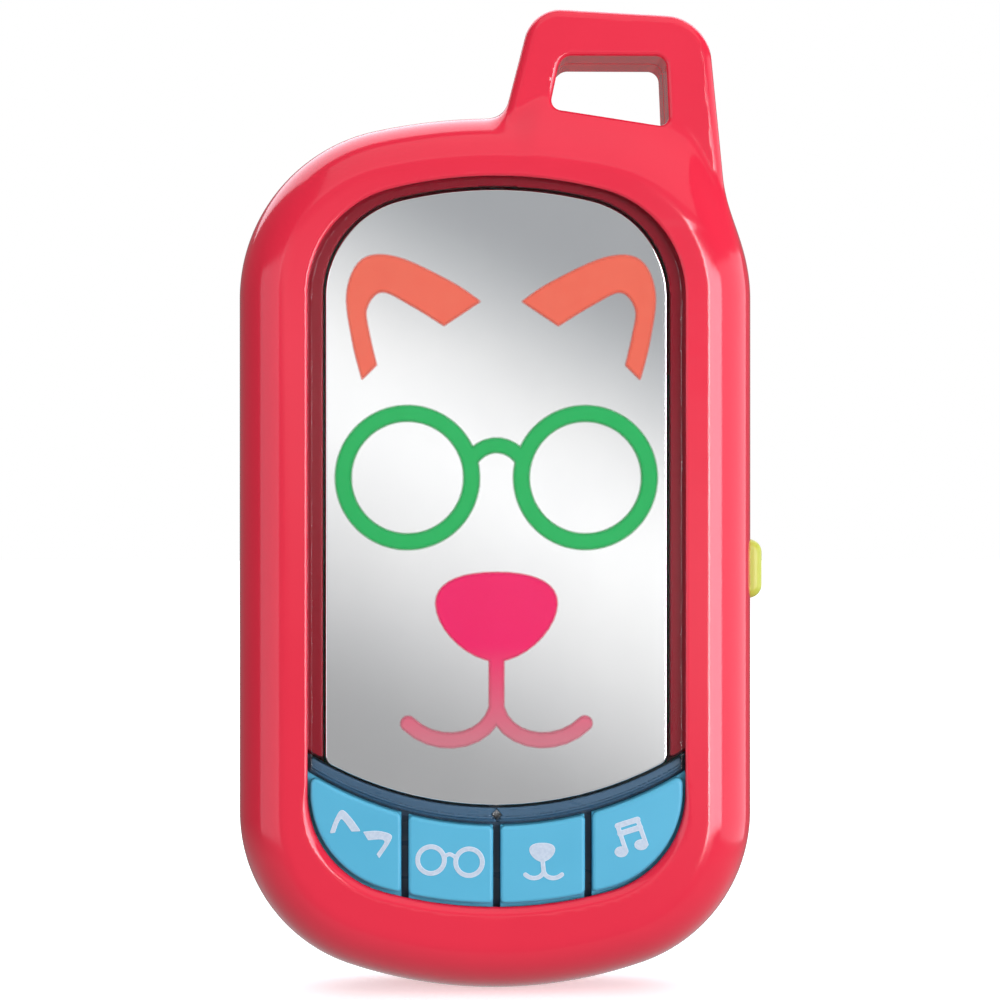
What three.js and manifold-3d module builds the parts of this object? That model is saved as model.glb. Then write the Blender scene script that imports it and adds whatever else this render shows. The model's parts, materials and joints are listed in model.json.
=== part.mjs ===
// Toy cell phone: an upright two-shell case with a carrying loop, a mirror window over a light-up
// dog face, four picture keys, a slide switch, a loudspeaker and a three-cell battery bay.
// Millimetres. +Z is up, the window faces -Y, and the origin is at the bottom centre of the box
// that holds the whole phone.

import * as THREE from "three";
import { mergeVertices } from "three/addons/utils/BufferGeometryUtils.js";
import Module from "manifold-3d";

const wasm = await Module();
wasm.setup();

// ---------------------------------------------------------------- driving dimensions

const GAP = 0.3; // least clearance between two pieces
const WALL = 2.2; // case wall
const HALF_DEPTH = 13; // half the case's depth

// Outlines with straight sides: each end has a large arc through z and two round corners.
const CASE = {
  halfWidth: 41.75,
  bottom: { z: 0, arc: 74.6, corner: 26.2 },
  top: { z: 141.8, arc: 91.8, corner: 28 },
};
const OPENING = {
  halfWidth: 30.2,
  bottom: { z: 14.6, arc: 68, corner: 16.5 },
  top: { z: 131.3, arc: 68, corner: 17.5 },
};
const MIRROR = {
  halfWidth: 27.5,
  bottom: { z: 30.4, arc: 57.5, corner: 2 },
  top: { z: 129.5, arc: 66, corner: 16 },
};
const SHOULDER = { in: 7.5, deep: 11, steps: 5 }; // the case's rounded edge

// Carrying loop: corners [x, z, radius], anticlockwise; its foot is buried in the case's top.
const LOOP = {
  halfDepth: 8.5,
  edge: 1.8,
  wall: 2,
  outline: [
    [-3, 134, 0],
    [38.1, 119, 0],
    [34.3, 157.7, 6.5],
    [5.9, 159.2, 4.6],
    [1.5, 142.1, 2.5],
    [-3, 141.4, 0],
  ],
  hole: [
    [8.6, 142.7, 1.8],
    [28, 139.8, 1.8],
    [27.5, 151.3, 1.8],
    [10.4, 151.3, 1.8],
  ],
};

// Depths of the layers behind the front face, as [front, back] in Y.
const LENS_Y = [-12.5, -11.1];
const LEDGE_Y = [-10.8, -9.4];
const LEDGE_WIDTH = 1.8;
const FILTER_Y = [-10.75, -10.4];
const MIRROR_Y = [-10.1, -9.1];
const LIGHT_BOX_Y = [-8.8, -3.4];
const BOARD_Y = [-3.1, -1.5];

const KEY_ARC = { z: 84.95, r: 57.6 }; // circle along the keys' top edge
const MIRROR_ARC = { z: MIRROR.bottom.z + MIRROR.bottom.arc, r: MIRROR.bottom.arc };
const LENS_FIT = 0.35; // between the lens and the case
const KEY_PITCH = 14.7;
const KEY_GAP = 1.15; // between two keys
const KEY_FIT = 0.4; // between a key and the case or lens
const KEY_Y = [-12.6, -9.6];
const KEY_FLANGE = { y: [-10.45, -9.6], out: 0.6 };
const PLUNGER_R = 2.4;
const KEY_Z = [25.4, 21.6, 21.6, 25.4]; // height of each key's middle
const KEY_FRAME_Y = [-8, -7];
const STRIP_FRONT = -10.3; // front of the rib that shows under the mirror
const PAD_Y = [-4.2, -3.4]; // the rubber keypad's sheet
const DOME_TOP = -5.4;

// The knob has a flange behind the case's wall and a tongue that reaches into the switch.
const SWITCH = { z: 68.25, length: 9.7, width: 6, proud: 2, travel: 2 };
const SWITCH_FLANGE = { x: [37.2, 38.9], halfWidth: 4.4, reach: 2.6 };
const SWITCH_TONGUE = { x: [33.4, 38], y: [0.3, 1.7], halfHeight: 1 };

// Screws along Y: where they stand left and right, and the bosses and holes round them.
const CASE_SCREW = { x: 34.2, z: [30, 106], seat: 4.5, frontBossR: 2.8, rearBossR: 3.6, holeR: 1.5 };
const HEAD_ROOM_R = 2.7; // of the counterbores over the screw heads
const BOARD_SCREW = { x: 33.5, z: [51, 92], postR: 2.3, holeR: 1.2 };

const CELL = { r: 5.25, length: 43.3, nubR: 1.9, nub: 1.2, pitch: 12, y: 5.65 }; // AAA
const BAY = { halfWidth: 18.6, z: [45.5, 96], front: 0.1, wall: 1.6 };
const DOOR = { halfWidth: 21.6, z: [36.2, 99.3], corner: 4, y: [11.35, 13], fit: 0.35 };
const DOOR_TAB = { x: 10, halfWidth: 4, reach: 1.6 };
const DOOR_RIDGE = { count: 4, z: 84, pitch: 2.6, halfLength: 7, width: 1.1, deep: 0.5 };
const DOOR_SCREW_Z = 40.2;
const CONTACT = 0.4; // thickness of the battery contact plates
// Each contact plate reaches from one cell to another, counted from the middle one; the two end
// plates have a tail through the bay's floor to the board.
const CONTACTS = [
  { name: "lower_bridge_contact", from: -1, to: 0, z: BAY.z[0] + GAP },
  { name: "lower_end_contact", from: 1, to: 1, z: BAY.z[0] + GAP, tail: CELL.pitch },
  { name: "upper_end_contact", from: -1, to: -1, z: BAY.z[1] - GAP - CONTACT, tail: -CELL.pitch },
  { name: "upper_bridge_contact", from: 0, to: 1, z: BAY.z[1] - GAP - CONTACT },
];

const SPEAKER = { r: 15, z: 117 };
const GRILLE = { holeR: 1.1, pitch: 4.2 };

const ARC_SEGMENTS = 4; // half the number of facets along each arc of a large outline

// ---------------------------------------------------------------- solids

// A closed geometry as a solid that can be cut and joined.
function solidOf(geometry) {
  const bare = geometry.clone();
  bare.deleteAttribute("normal");
  bare.deleteAttribute("uv");
  const merged = mergeVertices(bare, 1e-4);
  const mesh = new wasm.Mesh({
    numProp: 3,
    vertProperties: merged.attributes.position.array,
    triVerts: new Uint32Array(merged.index.array),
  });
  return new wasm.Manifold(mesh);
}

function geometryOf(solid) {
  const { vertProperties, triVerts } = solid.getMesh();
  const geometry = new THREE.BufferGeometry();
  geometry.setAttribute("position", new THREE.BufferAttribute(vertProperties, 3));
  geometry.setIndex(new THREE.BufferAttribute(triVerts, 1));
  return geometry;
}

function join(...solids) {
  return solids.reduce((whole, piece) => whole.add(piece));
}

function cut(solid, ...tools) {
  return tools.reduce((rest, tool) => rest.subtract(tool), solid);
}

// An outline in X and Z made solid from y = front to y = back. An edge { in, deep, steps }
// rounds both rims: it comes in by edge.in over a depth of edge.deep.
function slab(outline, [front, back], { edge = null, segments = ARC_SEGMENTS } = {}) {
  const deep = edge ? edge.deep : 0;
  const geometry = new THREE.ExtrudeGeometry(outline, {
    depth: back - front - 2 * deep,
    curveSegments: segments,
    bevelEnabled: edge !== null,
    bevelThickness: deep,
    bevelSize: edge ? edge.in : 0,
    bevelOffset: edge ? -edge.in : 0,
    bevelSegments: edge ? edge.steps : 0,
  });
  geometry.rotateX(Math.PI / 2);
  geometry.translate(0, back - deep, 0);
  return solidOf(geometry);
}

function block([x0, x1], [y0, y1], [z0, z1]) {
  const geometry = new THREE.BoxGeometry(x1 - x0, y1 - y0, z1 - z0);
  geometry.translate((x0 + x1) / 2, (y0 + y1) / 2, (z0 + z1) / 2);
  return solidOf(geometry);
}

// A round rod along Y, tapered where the back radius differs from the front one.
function rod([x, z], r, [front, back], { backR = r, sides = 12 } = {}) {
  const geometry = new THREE.CylinderGeometry(backR, r, back - front, sides);
  geometry.translate(x, (front + back) / 2, z);
  return solidOf(geometry);
}

// A profile of [radius, height] points turned about the Y axis.
function turned(profile, sides) {
  const points = profile.map(([r, y]) => new THREE.Vector2(r, y));
  return new THREE.LatheGeometry(points, sides);
}

// ---------------------------------------------------------------- outlines

// An outline with straight sides, arced ends and round corners, inset by a distance.
function arcedOutline({ halfWidth, bottom, top }, inset = 0) {
  const [low, high] = [bottom, top].map(({ z, arc, corner }, isTop) => {
    const up = isTop ? 1 : -1;
    const x = halfWidth - corner;
    const middle = z - up * arc;
    const rise = Math.sqrt((arc - corner) ** 2 - x ** 2);
    return { x, middle, z: middle + up * rise, lean: Math.atan2(rise, x), arc, corner };
  });
  const shape = new THREE.Shape();
  shape.absarc(0, low.middle, low.arc - inset, -Math.PI + low.lean, -low.lean);
  shape.absarc(low.x, low.z, low.corner - inset, -low.lean, 0);
  shape.absarc(high.x, high.z, high.corner - inset, 0, high.lean);
  shape.absarc(0, high.middle, high.arc - inset, high.lean, Math.PI - high.lean);
  shape.absarc(-high.x, high.z, high.corner - inset, Math.PI - high.lean, Math.PI);
  shape.absarc(-low.x, low.z, low.corner - inset, Math.PI, Math.PI + low.lean);
  return shape;
}

// An anticlockwise outline through corners [x, z, radius], inset by a distance.
function roundedPolygon(corners, inset = 0) {
  const count = corners.length;
  const edges = corners.map(([x, z], i) => {
    const [nextX, nextZ] = corners[(i + 1) % count];
    const along = new THREE.Vector2(nextX - x, nextZ - z).normalize();
    const start = new THREE.Vector2(x - along.y * inset, z + along.x * inset);
    return { start, along };
  });
  const shape = new THREE.Shape();
  corners.forEach(([, , radius], i) => {
    const before = edges[(i + count - 1) % count];
    const after = edges[i];
    const cross = before.along.cross(after.along);
    const reach = after.start.clone().sub(before.start).cross(after.along) / cross;
    const tip = before.start.clone().addScaledVector(before.along, reach);
    const bend = Math.atan2(cross, before.along.dot(after.along));
    const side = Math.sign(bend);
    const r = radius - side * inset;
    if (radius === 0 || r <= 0) {
      if (i === 0) shape.moveTo(tip.x, tip.y);
      else shape.lineTo(tip.x, tip.y);
      return;
    }
    const from = tip.clone().addScaledVector(before.along, -r * Math.tan(Math.abs(bend) / 2));
    const centreX = from.x - side * before.along.y * r;
    const centreZ = from.y + side * before.along.x * r;
    const start = Math.atan2(from.y - centreZ, from.x - centreX);
    shape.absarc(centreX, centreZ, r, start, start + bend, side < 0);
  });
  return shape;
}

function roundedRectangle([x0, x1], [z0, z1], radius, inset = 0) {
  const corners = [
    [x0, z0, radius],
    [x1, z0, radius],
    [x1, z1, radius],
    [x0, z1, radius],
  ];
  return roundedPolygon(corners, inset);
}

function circle(x, z, r) {
  return new THREE.Shape().absarc(x, z, r, 0, 2 * Math.PI);
}

// A stroke of even width along a curve in X and Z, with square ends.
function stroke(curve, width, steps) {
  const side = (sign) =>
    Array.from({ length: steps + 1 }, (_, i) => {
      const t = i / steps;
      const along = curve.getTangent(t);
      const at = curve.getPoint(t);
      return new THREE.Vector2(
        at.x - (sign * along.y * width) / 2,
        at.y + (sign * along.x * width) / 2,
      );
    });
  return new THREE.Shape([...side(-1), ...side(1).reverse()]);
}

// ---------------------------------------------------------------- case

function loopOutline(inset) {
  const outline = roundedPolygon(LOOP.outline, inset);
  outline.holes.push(roundedPolygon(LOOP.hole, -inset));
  return outline;
}

function caseOuter() {
  const loopEdge = { in: LOOP.edge, deep: LOOP.edge, steps: 3 };
  const loopY = [-LOOP.halfDepth, LOOP.halfDepth];
  return join(
    slab(arcedOutline(CASE), [-HALF_DEPTH, HALF_DEPTH], { edge: SHOULDER }),
    slab(loopOutline(0), loopY, { edge: loopEdge, segments: 3 }),
  );
}

function caseHollow() {
  const depth = HALF_DEPTH - WALL;
  const edge = { in: SHOULDER.in - 1, deep: SHOULDER.deep - 2, steps: 3 };
  const inner = slab(arcedOutline(CASE, WALL), [-depth, depth], { edge });
  const loopDepth = LOOP.halfDepth - LOOP.wall;
  const loopInner = slab(loopOutline(LOOP.wall), [-loopDepth, loopDepth], { segments: 2 });
  return join(inner, loopInner);
}

const outer = caseOuter();
const shell = outer.subtract(caseHollow());

function halfSpace(front, back) {
  return block([-60, 60], [front, back], [-10, 170]);
}

// The slot in the side wall that the switch knob slides in.
function switchSlot() {
  const halfLength = SWITCH.length / 2;
  const low = SWITCH.z - halfLength - GAP;
  const high = SWITCH.z + halfLength + SWITCH.travel + GAP;
  const halfWidth = SWITCH.width / 2 + GAP;
  return block([37, 46], [-halfWidth, halfWidth], [low, high]);
}

// Everything above the lowest stretch of a circle, which is moved down by a distance.
function aboveArc({ z, r }, lower, depths) {
  const spread = 0.62;
  const shape = new THREE.Shape();
  shape.absarc(0, z, r + lower, -Math.PI / 2 - spread, -Math.PI / 2 + spread);
  shape.lineTo(60, 170);
  shape.lineTo(-60, 170);
  return slab(shape, depths, { segments: 8 });
}

// The four places of a set of screws, left and right at each height.
function placesOf({ x, z }) {
  return [-x, x].flatMap((side) => z.map((height) => [side, height]));
}

function frontHousing() {
  const half = shell.intersect(halfSpace(-20, -GAP / 2));
  const ledge = slab(arcedOutline(OPENING, -LEDGE_WIDTH), [LEDGE_Y[0] - 0.2, LEDGE_Y[1]]);
  const bosses = placesOf(CASE_SCREW).map((at) => rod(at, CASE_SCREW.frontBossR, [-11.5, -0.4]));
  const postY = [-11.5, BOARD_Y[0] - GAP];
  const posts = placesOf(BOARD_SCREW).map((at) => rod(at, BOARD_SCREW.postR, postY));
  const keyRoom = cut(
    slab(arcedOutline(OPENING, -1), [LEDGE_Y[0], -9]),
    aboveArc(KEY_ARC, -3, [-12, -8]),
  );
  return cut(
    join(half, ledge, ...bosses, ...posts),
    slab(arcedOutline(OPENING), [-20, LEDGE_Y[0]]),
    slab(arcedOutline(MIRROR, -LENS_FIT), [-20, -9]),
    keyRoom,
    switchSlot(),
    ...placesOf(CASE_SCREW).map((at) => rod(at, CASE_SCREW.holeR, [-8.5, 1], { sides: 8 })),
    ...placesOf(BOARD_SCREW).map((at) => rod(at, BOARD_SCREW.holeR, [-9, 1], { sides: 8 })),
  );
}

// Round holes in rings about the loudspeaker's axis.
function grilleHoles() {
  const rings = [0, 1, 2];
  return rings.flatMap((ring) =>
    Array.from({ length: Math.max(1, 6 * ring) }, (_, i) => {
      const angle = (i / Math.max(1, 6 * ring)) * 2 * Math.PI;
      const at = [
        ring * GRILLE.pitch * Math.cos(angle),
        SPEAKER.z + ring * GRILLE.pitch * Math.sin(angle),
      ];
      return rod(at, GRILLE.holeR, [10, 14], { sides: 8 });
    }),
  );
}

function rearHousing() {
  const doorOutline = (inset) =>
    roundedRectangle([-DOOR.halfWidth, DOOR.halfWidth], DOOR.z, DOOR.corner, inset);
  const seatY = DOOR.y[0] - GAP;
  const seat = slab(doorOutline(-2), [seatY - 1.8, seatY + 0.4]);
  const tubX = BAY.halfWidth + BAY.wall;
  const tub = block(
    [-tubX, tubX],
    [BAY.front - 1, seatY],
    [BAY.z[0] - BAY.wall, BAY.z[1] + BAY.wall],
  );
  const bay = block([-BAY.halfWidth, BAY.halfWidth], [BAY.front, 20], BAY.z);
  const tailSlots = [CONTACTS[1], CONTACTS[2]].map(({ tail, z }) =>
    block([tail - 1.4, tail + 1.4], [-2, 1], [z - GAP, z + CONTACT + GAP]),
  );
  const doorPocket = slab(doorOutline(-DOOR.fit), [seatY, 20]);
  const tabPockets = doorTabs(DOOR.fit, [seatY, 20]);
  const screws = placesOf(CASE_SCREW);
  const bosses = screws.map((at) => rod(at, CASE_SCREW.rearBossR, [0.4, 12], { sides: 16 }));
  const holes = screws.map((at) => rod(at, CASE_SCREW.holeR, [-1, 14], { sides: 8 }));
  const heads = screws.map((at) => rod(at, HEAD_ROOM_R, [CASE_SCREW.seat, 14]));
  const doorBoss = rod([0, DOOR_SCREW_Z], 3, [3, seatY - 0.5]);
  const doorHole = rod([0, DOOR_SCREW_Z], 1.4, [2, 14], { sides: 8 });
  const speakerRing = cut(
    rod([0, SPEAKER.z], SPEAKER.r + 1.8, [8.4, 12], { sides: 32 }),
    rod([0, SPEAKER.z], SPEAKER.r + GAP, [8, HALF_DEPTH - WALL], { sides: 32 }),
  );
  const half = shell.intersect(halfSpace(GAP / 2, 20));
  return cut(
    join(half, seat, tub, doorBoss, speakerRing, ...bosses),
    bay,
    doorPocket,
    ...tabPockets,
    ...tailSlots,
    doorHole,
    ...holes,
    ...heads,
    ...grilleHoles(),
    switchSlot(),
  );
}

// ---------------------------------------------------------------- battery bay

// The two tabs at the door's upper edge, grown by a distance.
function doorTabs(grow, [front, back]) {
  const half = DOOR_TAB.halfWidth + grow;
  const heights = [DOOR.z[1] - 1, DOOR.z[1] + DOOR_TAB.reach + grow];
  return [-DOOR_TAB.x, DOOR_TAB.x].map((x) => block([x - half, x + half], [front, back], heights));
}

function batteryDoor() {
  const [front, back] = DOOR.y;
  const outline = roundedRectangle([-DOOR.halfWidth, DOOR.halfWidth], DOOR.z, DOOR.corner);
  const panel = slab(outline, [front, back]);
  const { count, pitch, halfLength, width, deep } = DOOR_RIDGE;
  const ridges = Array.from({ length: count }, (_, i) => {
    const z = DOOR_RIDGE.z + pitch * i;
    const ridge = roundedRectangle([-halfLength, halfLength], [z, z + width], 0.5);
    return slab(ridge, [back - deep, back + 1], { segments: 1 });
  });
  return cut(
    join(panel, ...doorTabs(0, [front, front + 0.9])),
    rod([0, DOOR_SCREW_Z], 1.5, [front - 1, back + 1], { sides: 8 }),
    rod([0, DOOR_SCREW_Z], HEAD_ROOM_R, [back - 0.95, back + 1], { sides: 16 }),
    ...ridges,
  );
}

// One AAA cell standing along Z on z = 0, its nub upwards.
function cellGeometry() {
  const rim = 0.5;
  const geometry = turned(
    [
      [0, 0],
      [CELL.r - rim, 0],
      [CELL.r, rim],
      [CELL.r, CELL.length - rim],
      [CELL.r - rim, CELL.length],
      [CELL.nubR, CELL.length],
      [CELL.nubR, CELL.length + CELL.nub],
      [0, CELL.length + CELL.nub],
    ],
    20,
  );
  return geometry.rotateX(Math.PI / 2);
}

class ConicalHelix extends THREE.Curve {
  constructor(lowR, highR, height, turns) {
    super();
    Object.assign(this, { lowR, highR, height, turns });
  }

  getPoint(t, target = new THREE.Vector3()) {
    const angle = t * this.turns * 2 * Math.PI;
    const r = THREE.MathUtils.lerp(this.lowR, this.highR, t);
    return target.set(r * Math.cos(angle), r * Math.sin(angle), t * this.height);
  }
}

// A spring of conical coils along Z, its wide end at z = 0.
function springGeometry() {
  const wire = 0.35;
  const path = new ConicalHelix(4, 2.4, 2.8, 2.5);
  const section = new THREE.Shape().absarc(0, 0, wire, 0, 2 * Math.PI);
  const geometry = new THREE.ExtrudeGeometry(section, {
    curveSegments: 3,
    steps: 20,
    extrudePath: path,
  });
  return geometry.translate(0, 0, wire);
}

function contactPlate({ from, to, z, tail }) {
  const half = CELL.pitch / 2 - 0.7; // leaves a slit between neighbouring plates
  const depths = [z, z + CONTACT];
  const plate = block([from * CELL.pitch - half, to * CELL.pitch + half], [1.6, 10], depths);
  if (tail === undefined) return plate;
  return plate.add(block([tail - 1, tail + 1], [BOARD_Y[1] + GAP, 2], depths));
}

// ---------------------------------------------------------------- window and light-up face

const LENS = {
  halfWidth: OPENING.halfWidth - LENS_FIT,
  bottom: { z: KEY_ARC.z - KEY_ARC.r + KEY_FIT, arc: KEY_ARC.r - KEY_FIT, corner: 0.8 },
  top: {
    z: OPENING.top.z - LENS_FIT,
    arc: OPENING.top.arc - LENS_FIT,
    corner: OPENING.top.corner - LENS_FIT,
  },
};

// The dog face: drooping ears, round glasses, and a nose with a mouth below it.
const EARS_MIDDLE = 0.75;
const GLASSES = { x: 14.3, z: 83.1, outR: 11.5, inR: 9.1 };
const LINE = 2.2; // width of the bridge, stem and mouth

// The ear left (side = -1) or right (side = 1) of the ears' middle: a band that rises from the
// cheek, turns at the top and falls towards the brow.
function earOutline(side) {
  const at = (x, z) => new THREE.Vector2(EARS_MIDDLE + side * x, z);
  const shape = new THREE.Shape();
  shape.moveTo(...at(22.3, 99).toArray());
  shape.splineThru([
    at(23.8, 105),
    at(24.7, 112.7),
    at(22.3, 118),
    at(16.8, 118.4),
    at(8.2, 114.5),
    at(3.5, 111.4),
  ]);
  shape.lineTo(...at(9.2, 107.6).toArray());
  shape.splineThru([
    at(14.4, 110.8),
    at(19.2, 113),
    at(21.7, 110.2),
    at(21.2, 105.9),
    at(20.1, 101.2),
  ]);
  return shape;
}

function glassesFilter() {
  const rims = [-GLASSES.x, GLASSES.x].map((x) => {
    const rim = circle(x, GLASSES.z, GLASSES.outR);
    rim.holes.push(circle(x, GLASSES.z, GLASSES.inR));
    return slab(rim, FILTER_Y, { segments: 12 });
  });
  const arch = new THREE.QuadraticBezierCurve(
    new THREE.Vector2(-4.2, 86.2),
    new THREE.Vector2(0, 89.4),
    new THREE.Vector2(4.2, 86.2),
  );
  return join(...rims, slab(stroke(arch, LINE, 6), FILTER_Y));
}

function noseFilter() {
  const nose = new THREE.Shape();
  nose.moveTo(0, 67.8);
  nose.bezierCurveTo(-6, 67.8, -9.7, 66.2, -9.7, 62.9);
  nose.bezierCurveTo(-9.7, 59, -5, 54, 0, 53.6);
  nose.bezierCurveTo(5, 54, 9.7, 59, 9.7, 62.9);
  nose.bezierCurveTo(9.7, 66.2, 6, 67.8, 0, 67.8);
  const stem = new THREE.LineCurve(new THREE.Vector2(0, 54.5), new THREE.Vector2(0, 45));
  const lips = [-1, 1].map(
    (side) =>
      new THREE.CubicBezierCurve(
        new THREE.Vector2(0, 46),
        new THREE.Vector2(side * 1.6, 40.2),
        new THREE.Vector2(side * 9.8, 39.2),
        new THREE.Vector2(side * 14.2, 43.6),
      ),
  );
  return join(
    slab(nose, FILTER_Y, { segments: 6 }),
    ...[stem, ...lips].map((line) => slab(stroke(line, LINE, 8), FILTER_Y)),
  );
}

// A white tray with one light well behind each ear, each eye and the nose.
function lightBox() {
  const through = [LIGHT_BOX_Y[0] - 1, LIGHT_BOX_Y[1] + 1];
  const earWells = [
    roundedRectangle([-25, -1.6], [97.5, 120.5], 9),
    roundedRectangle([1.6, 25.2], [97.5, 120.5], 9),
  ];
  const eyeWells = [-GLASSES.x, GLASSES.x].map((x) => circle(x, GLASSES.z, GLASSES.outR + 0.1));
  const noseWell = roundedRectangle([-16, 16], [38.5, 69], 5);
  return cut(
    slab(arcedOutline(MIRROR, 0.6), LIGHT_BOX_Y),
    ...[...earWells, ...eyeWells, noseWell].map((well) => slab(well, through)),
  );
}

// A light-emitting diode on the board: a square base under a round dome.
function led([x, z]) {
  const seat = BOARD_Y[0] - GAP;
  const base = block([x - 1.7, x + 1.7], [seat - 0.7, seat], [z - 1.5, z + 1.5]);
  const dome = rod([x, z], 0.7, [seat - 1.9, seat - 0.6], { backR: 1.25 });
  return join(base, dome);
}

// ---------------------------------------------------------------- keys

const keyXs = KEY_Z.map((_, i) => (i - (KEY_Z.length - 1) / 2) * KEY_PITCH);

// What lies below the keys' top edge in the opening, inset by a distance.
function keyArea(inset, depths) {
  const above = aboveArc(KEY_ARC, Math.max(inset - KEY_FIT, 0), [-20, 0]);
  return cut(slab(arcedOutline(OPENING, inset), depths), above);
}

// A key cap with a hidden flange along the case's edge and a plunger towards the keypad.
function keyCap(i) {
  const last = KEY_Z.length - 1;
  const x = keyXs[i];
  const left = i === 0 ? -40 : x - (KEY_PITCH - KEY_GAP) / 2;
  const right = i === last ? 40 : x + (KEY_PITCH - KEY_GAP) / 2;
  const lane = block([left, right], [-20, 0], [0, 60]);
  const cap = keyArea(KEY_FIT, KEY_Y).intersect(lane);
  const flange = keyArea(-KEY_FLANGE.out, KEY_FLANGE.y).intersect(lane);
  const plunger = rod([x, KEY_Z[i]], PLUNGER_R, [KEY_Y[1] - 0.5, DOME_TOP - GAP]);
  return join(cap, flange, plunger);
}

// The plate that guides the four plungers; its rib shows as a strip between mirror and keys.
function keyFrame() {
  const [front, back] = KEY_FRAME_Y;
  const ribDepths = [STRIP_FRONT, back];
  const plate = slab(arcedOutline(OPENING, -1.2), KEY_FRAME_Y);
  const rib = slab(arcedOutline(OPENING, KEY_FIT), ribDepths).intersect(
    aboveArc(KEY_ARC, -KEY_FIT, ribDepths),
  );
  const port = rod([0, 28.9], 0.9, [-12, 0], { sides: 4 });
  const guides = keyXs.map((x, i) => rod([x, KEY_Z[i]], PLUNGER_R + LENS_FIT, [front - 1, back + 1]));
  return cut(join(plate, rib), aboveArc(MIRROR_ARC, LENS_FIT, [-20, 0]), port, ...guides);
}

// The rubber sheet on the board, with a dome under each key.
function rubberKeypad() {
  const sheet = keyArea(2, PAD_Y);
  const domes = keyXs.map((x, i) => rod([x, KEY_Z[i]], 3, [DOME_TOP, PAD_Y[1]], { backR: 4.2 }));
  return cut(join(sheet, ...domes), rod(MICROPHONE, 2.2, [-8, 0]));
}

// ---------------------------------------------------------------- switch

function switchKnob() {
  const halfLength = SWITCH.length / 2;
  const tip = CASE.halfWidth + SWITCH.proud;
  const span = [SWITCH.z - halfLength, SWITCH.z + halfLength];
  const edge = { in: 0.8, deep: 0.8, steps: 2 };
  const knobY = [-SWITCH.width / 2, SWITCH.width / 2];
  const knob = slab(roundedRectangle([37.5, tip], span, 1.6), knobY, { edge, segments: 2 });
  const { halfWidth, reach } = SWITCH_FLANGE;
  const flangeZ = [span[0] - reach, span[1] + reach];
  const flange = block(SWITCH_FLANGE.x, [-halfWidth, halfWidth], flangeZ);
  const { halfHeight } = SWITCH_TONGUE;
  const tongueZ = [SWITCH.z - halfHeight, SWITCH.z + halfHeight];
  const tongue = block(SWITCH_TONGUE.x, SWITCH_TONGUE.y, tongueZ);
  return join(knob, flange, tongue);
}

function switchBody() {
  const can = block([28.8, 34.8], [BOARD_Y[1] + GAP, 3.2], [SWITCH.z - 5.5, SWITCH.z + 7.5]);
  const trackHalf = SWITCH_TONGUE.halfHeight + GAP;
  const trackZ = [SWITCH.z - trackHalf, SWITCH.z + trackHalf + SWITCH.travel];
  const track = block([33, 36], [0, 2], trackZ);
  return can.subtract(track);
}

// ---------------------------------------------------------------- board, sound and fasteners

const MICROPHONE = [0, 28.7];

function mainBoard() {
  const outline = roundedPolygon([
    [-28, 13.5, 6],
    [28, 13.5, 6],
    [28, 44, 2],
    [36.9, 44, 2],
    [36.9, 99, 2],
    [28, 99, 2],
    [28, 124, 8],
    [-28, 124, 8],
    [-28, 99, 2],
    [-36.9, 99, 2],
    [-36.9, 44, 2],
    [-28, 44, 2],
  ]);
  const holes = placesOf(BOARD_SCREW).map((at) => rod(at, 1.25, [-4, 0], { sides: 8 }));
  return cut(slab(outline, BOARD_Y, { segments: 2 }), ...holes);
}

// A loudspeaker's parts are turned about an axis along Y through [0, SPEAKER.z].
function speakerFrame() {
  return turned(
    [
      [0, 5.2],
      [9, 5.2],
      [14, 9.2],
      [SPEAKER.r, 9.2],
      [SPEAKER.r, 10.4],
      [13.5, 10.4],
      [13.5, 9.8],
      [8.6, 6.2],
      [0, 6.2],
    ],
    28,
  );
}

function speakerCone() {
  return turned(
    [
      [0, 7.3],
      [3.6, 7.3],
      [12.2, 9.75],
      [13, 9.75],
      [13, 10.1],
      [12.1, 10.1],
      [4, 7.8],
      [3.2, 8.5],
      [0, 9.1],
    ],
    28,
  );
}

function speakerMagnet() {
  return new THREE.CylinderGeometry(8, 8, 2.4, 28).translate(0, 3.7, 0);
}

// A screw along Y with its cross-slotted head at the back.
function screw([x, z], { headR, head: [under, top], shankR, tip }) {
  const slots = [
    block([x - 1.3, x + 1.3], [top - 0.5, top + 1], [z - 0.3, z + 0.3]),
    block([x - 0.3, x + 0.3], [top - 0.5, top + 1], [z - 1.3, z + 1.3]),
  ];
  const head = rod([x, z], headR, [under, top], { backR: headR - 0.3, sides: 16 });
  const shank = rod([x, z], shankR * 0.5, [tip, under + 0.2], { backR: shankR, sides: 8 });
  return cut(join(head, shank), ...slots);
}

// A lead from the loudspeaker's frame to the board.
function speakerWire(side) {
  const x = side * 8;
  const path = new THREE.CatmullRomCurve3([
    new THREE.Vector3(x, 8.3, 104.6),
    new THREE.Vector3(x, 5.4, 103.2),
    new THREE.Vector3(x * 1.2, 1.6, 101.6),
    new THREE.Vector3(x * 1.2, -1.1, 101.2),
  ]);
  const section = new THREE.Shape().absarc(0, 0, 0.5, 0, 2 * Math.PI);
  return new THREE.ExtrudeGeometry(section, { curveSegments: 4, steps: 10, extrudePath: path });
}

// ---------------------------------------------------------------- the phone

const phone = new THREE.Group();
phone.position.x = -SWITCH.proud / 2; // centres the phone and its knob on the origin

const plastic = (color, roughness = 0.45) =>
  new THREE.MeshStandardMaterial({ color, roughness, metalness: 0 });
const metal = (color, roughness = 0.3) =>
  new THREE.MeshStandardMaterial({ color, roughness, metalness: 1 });

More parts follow.
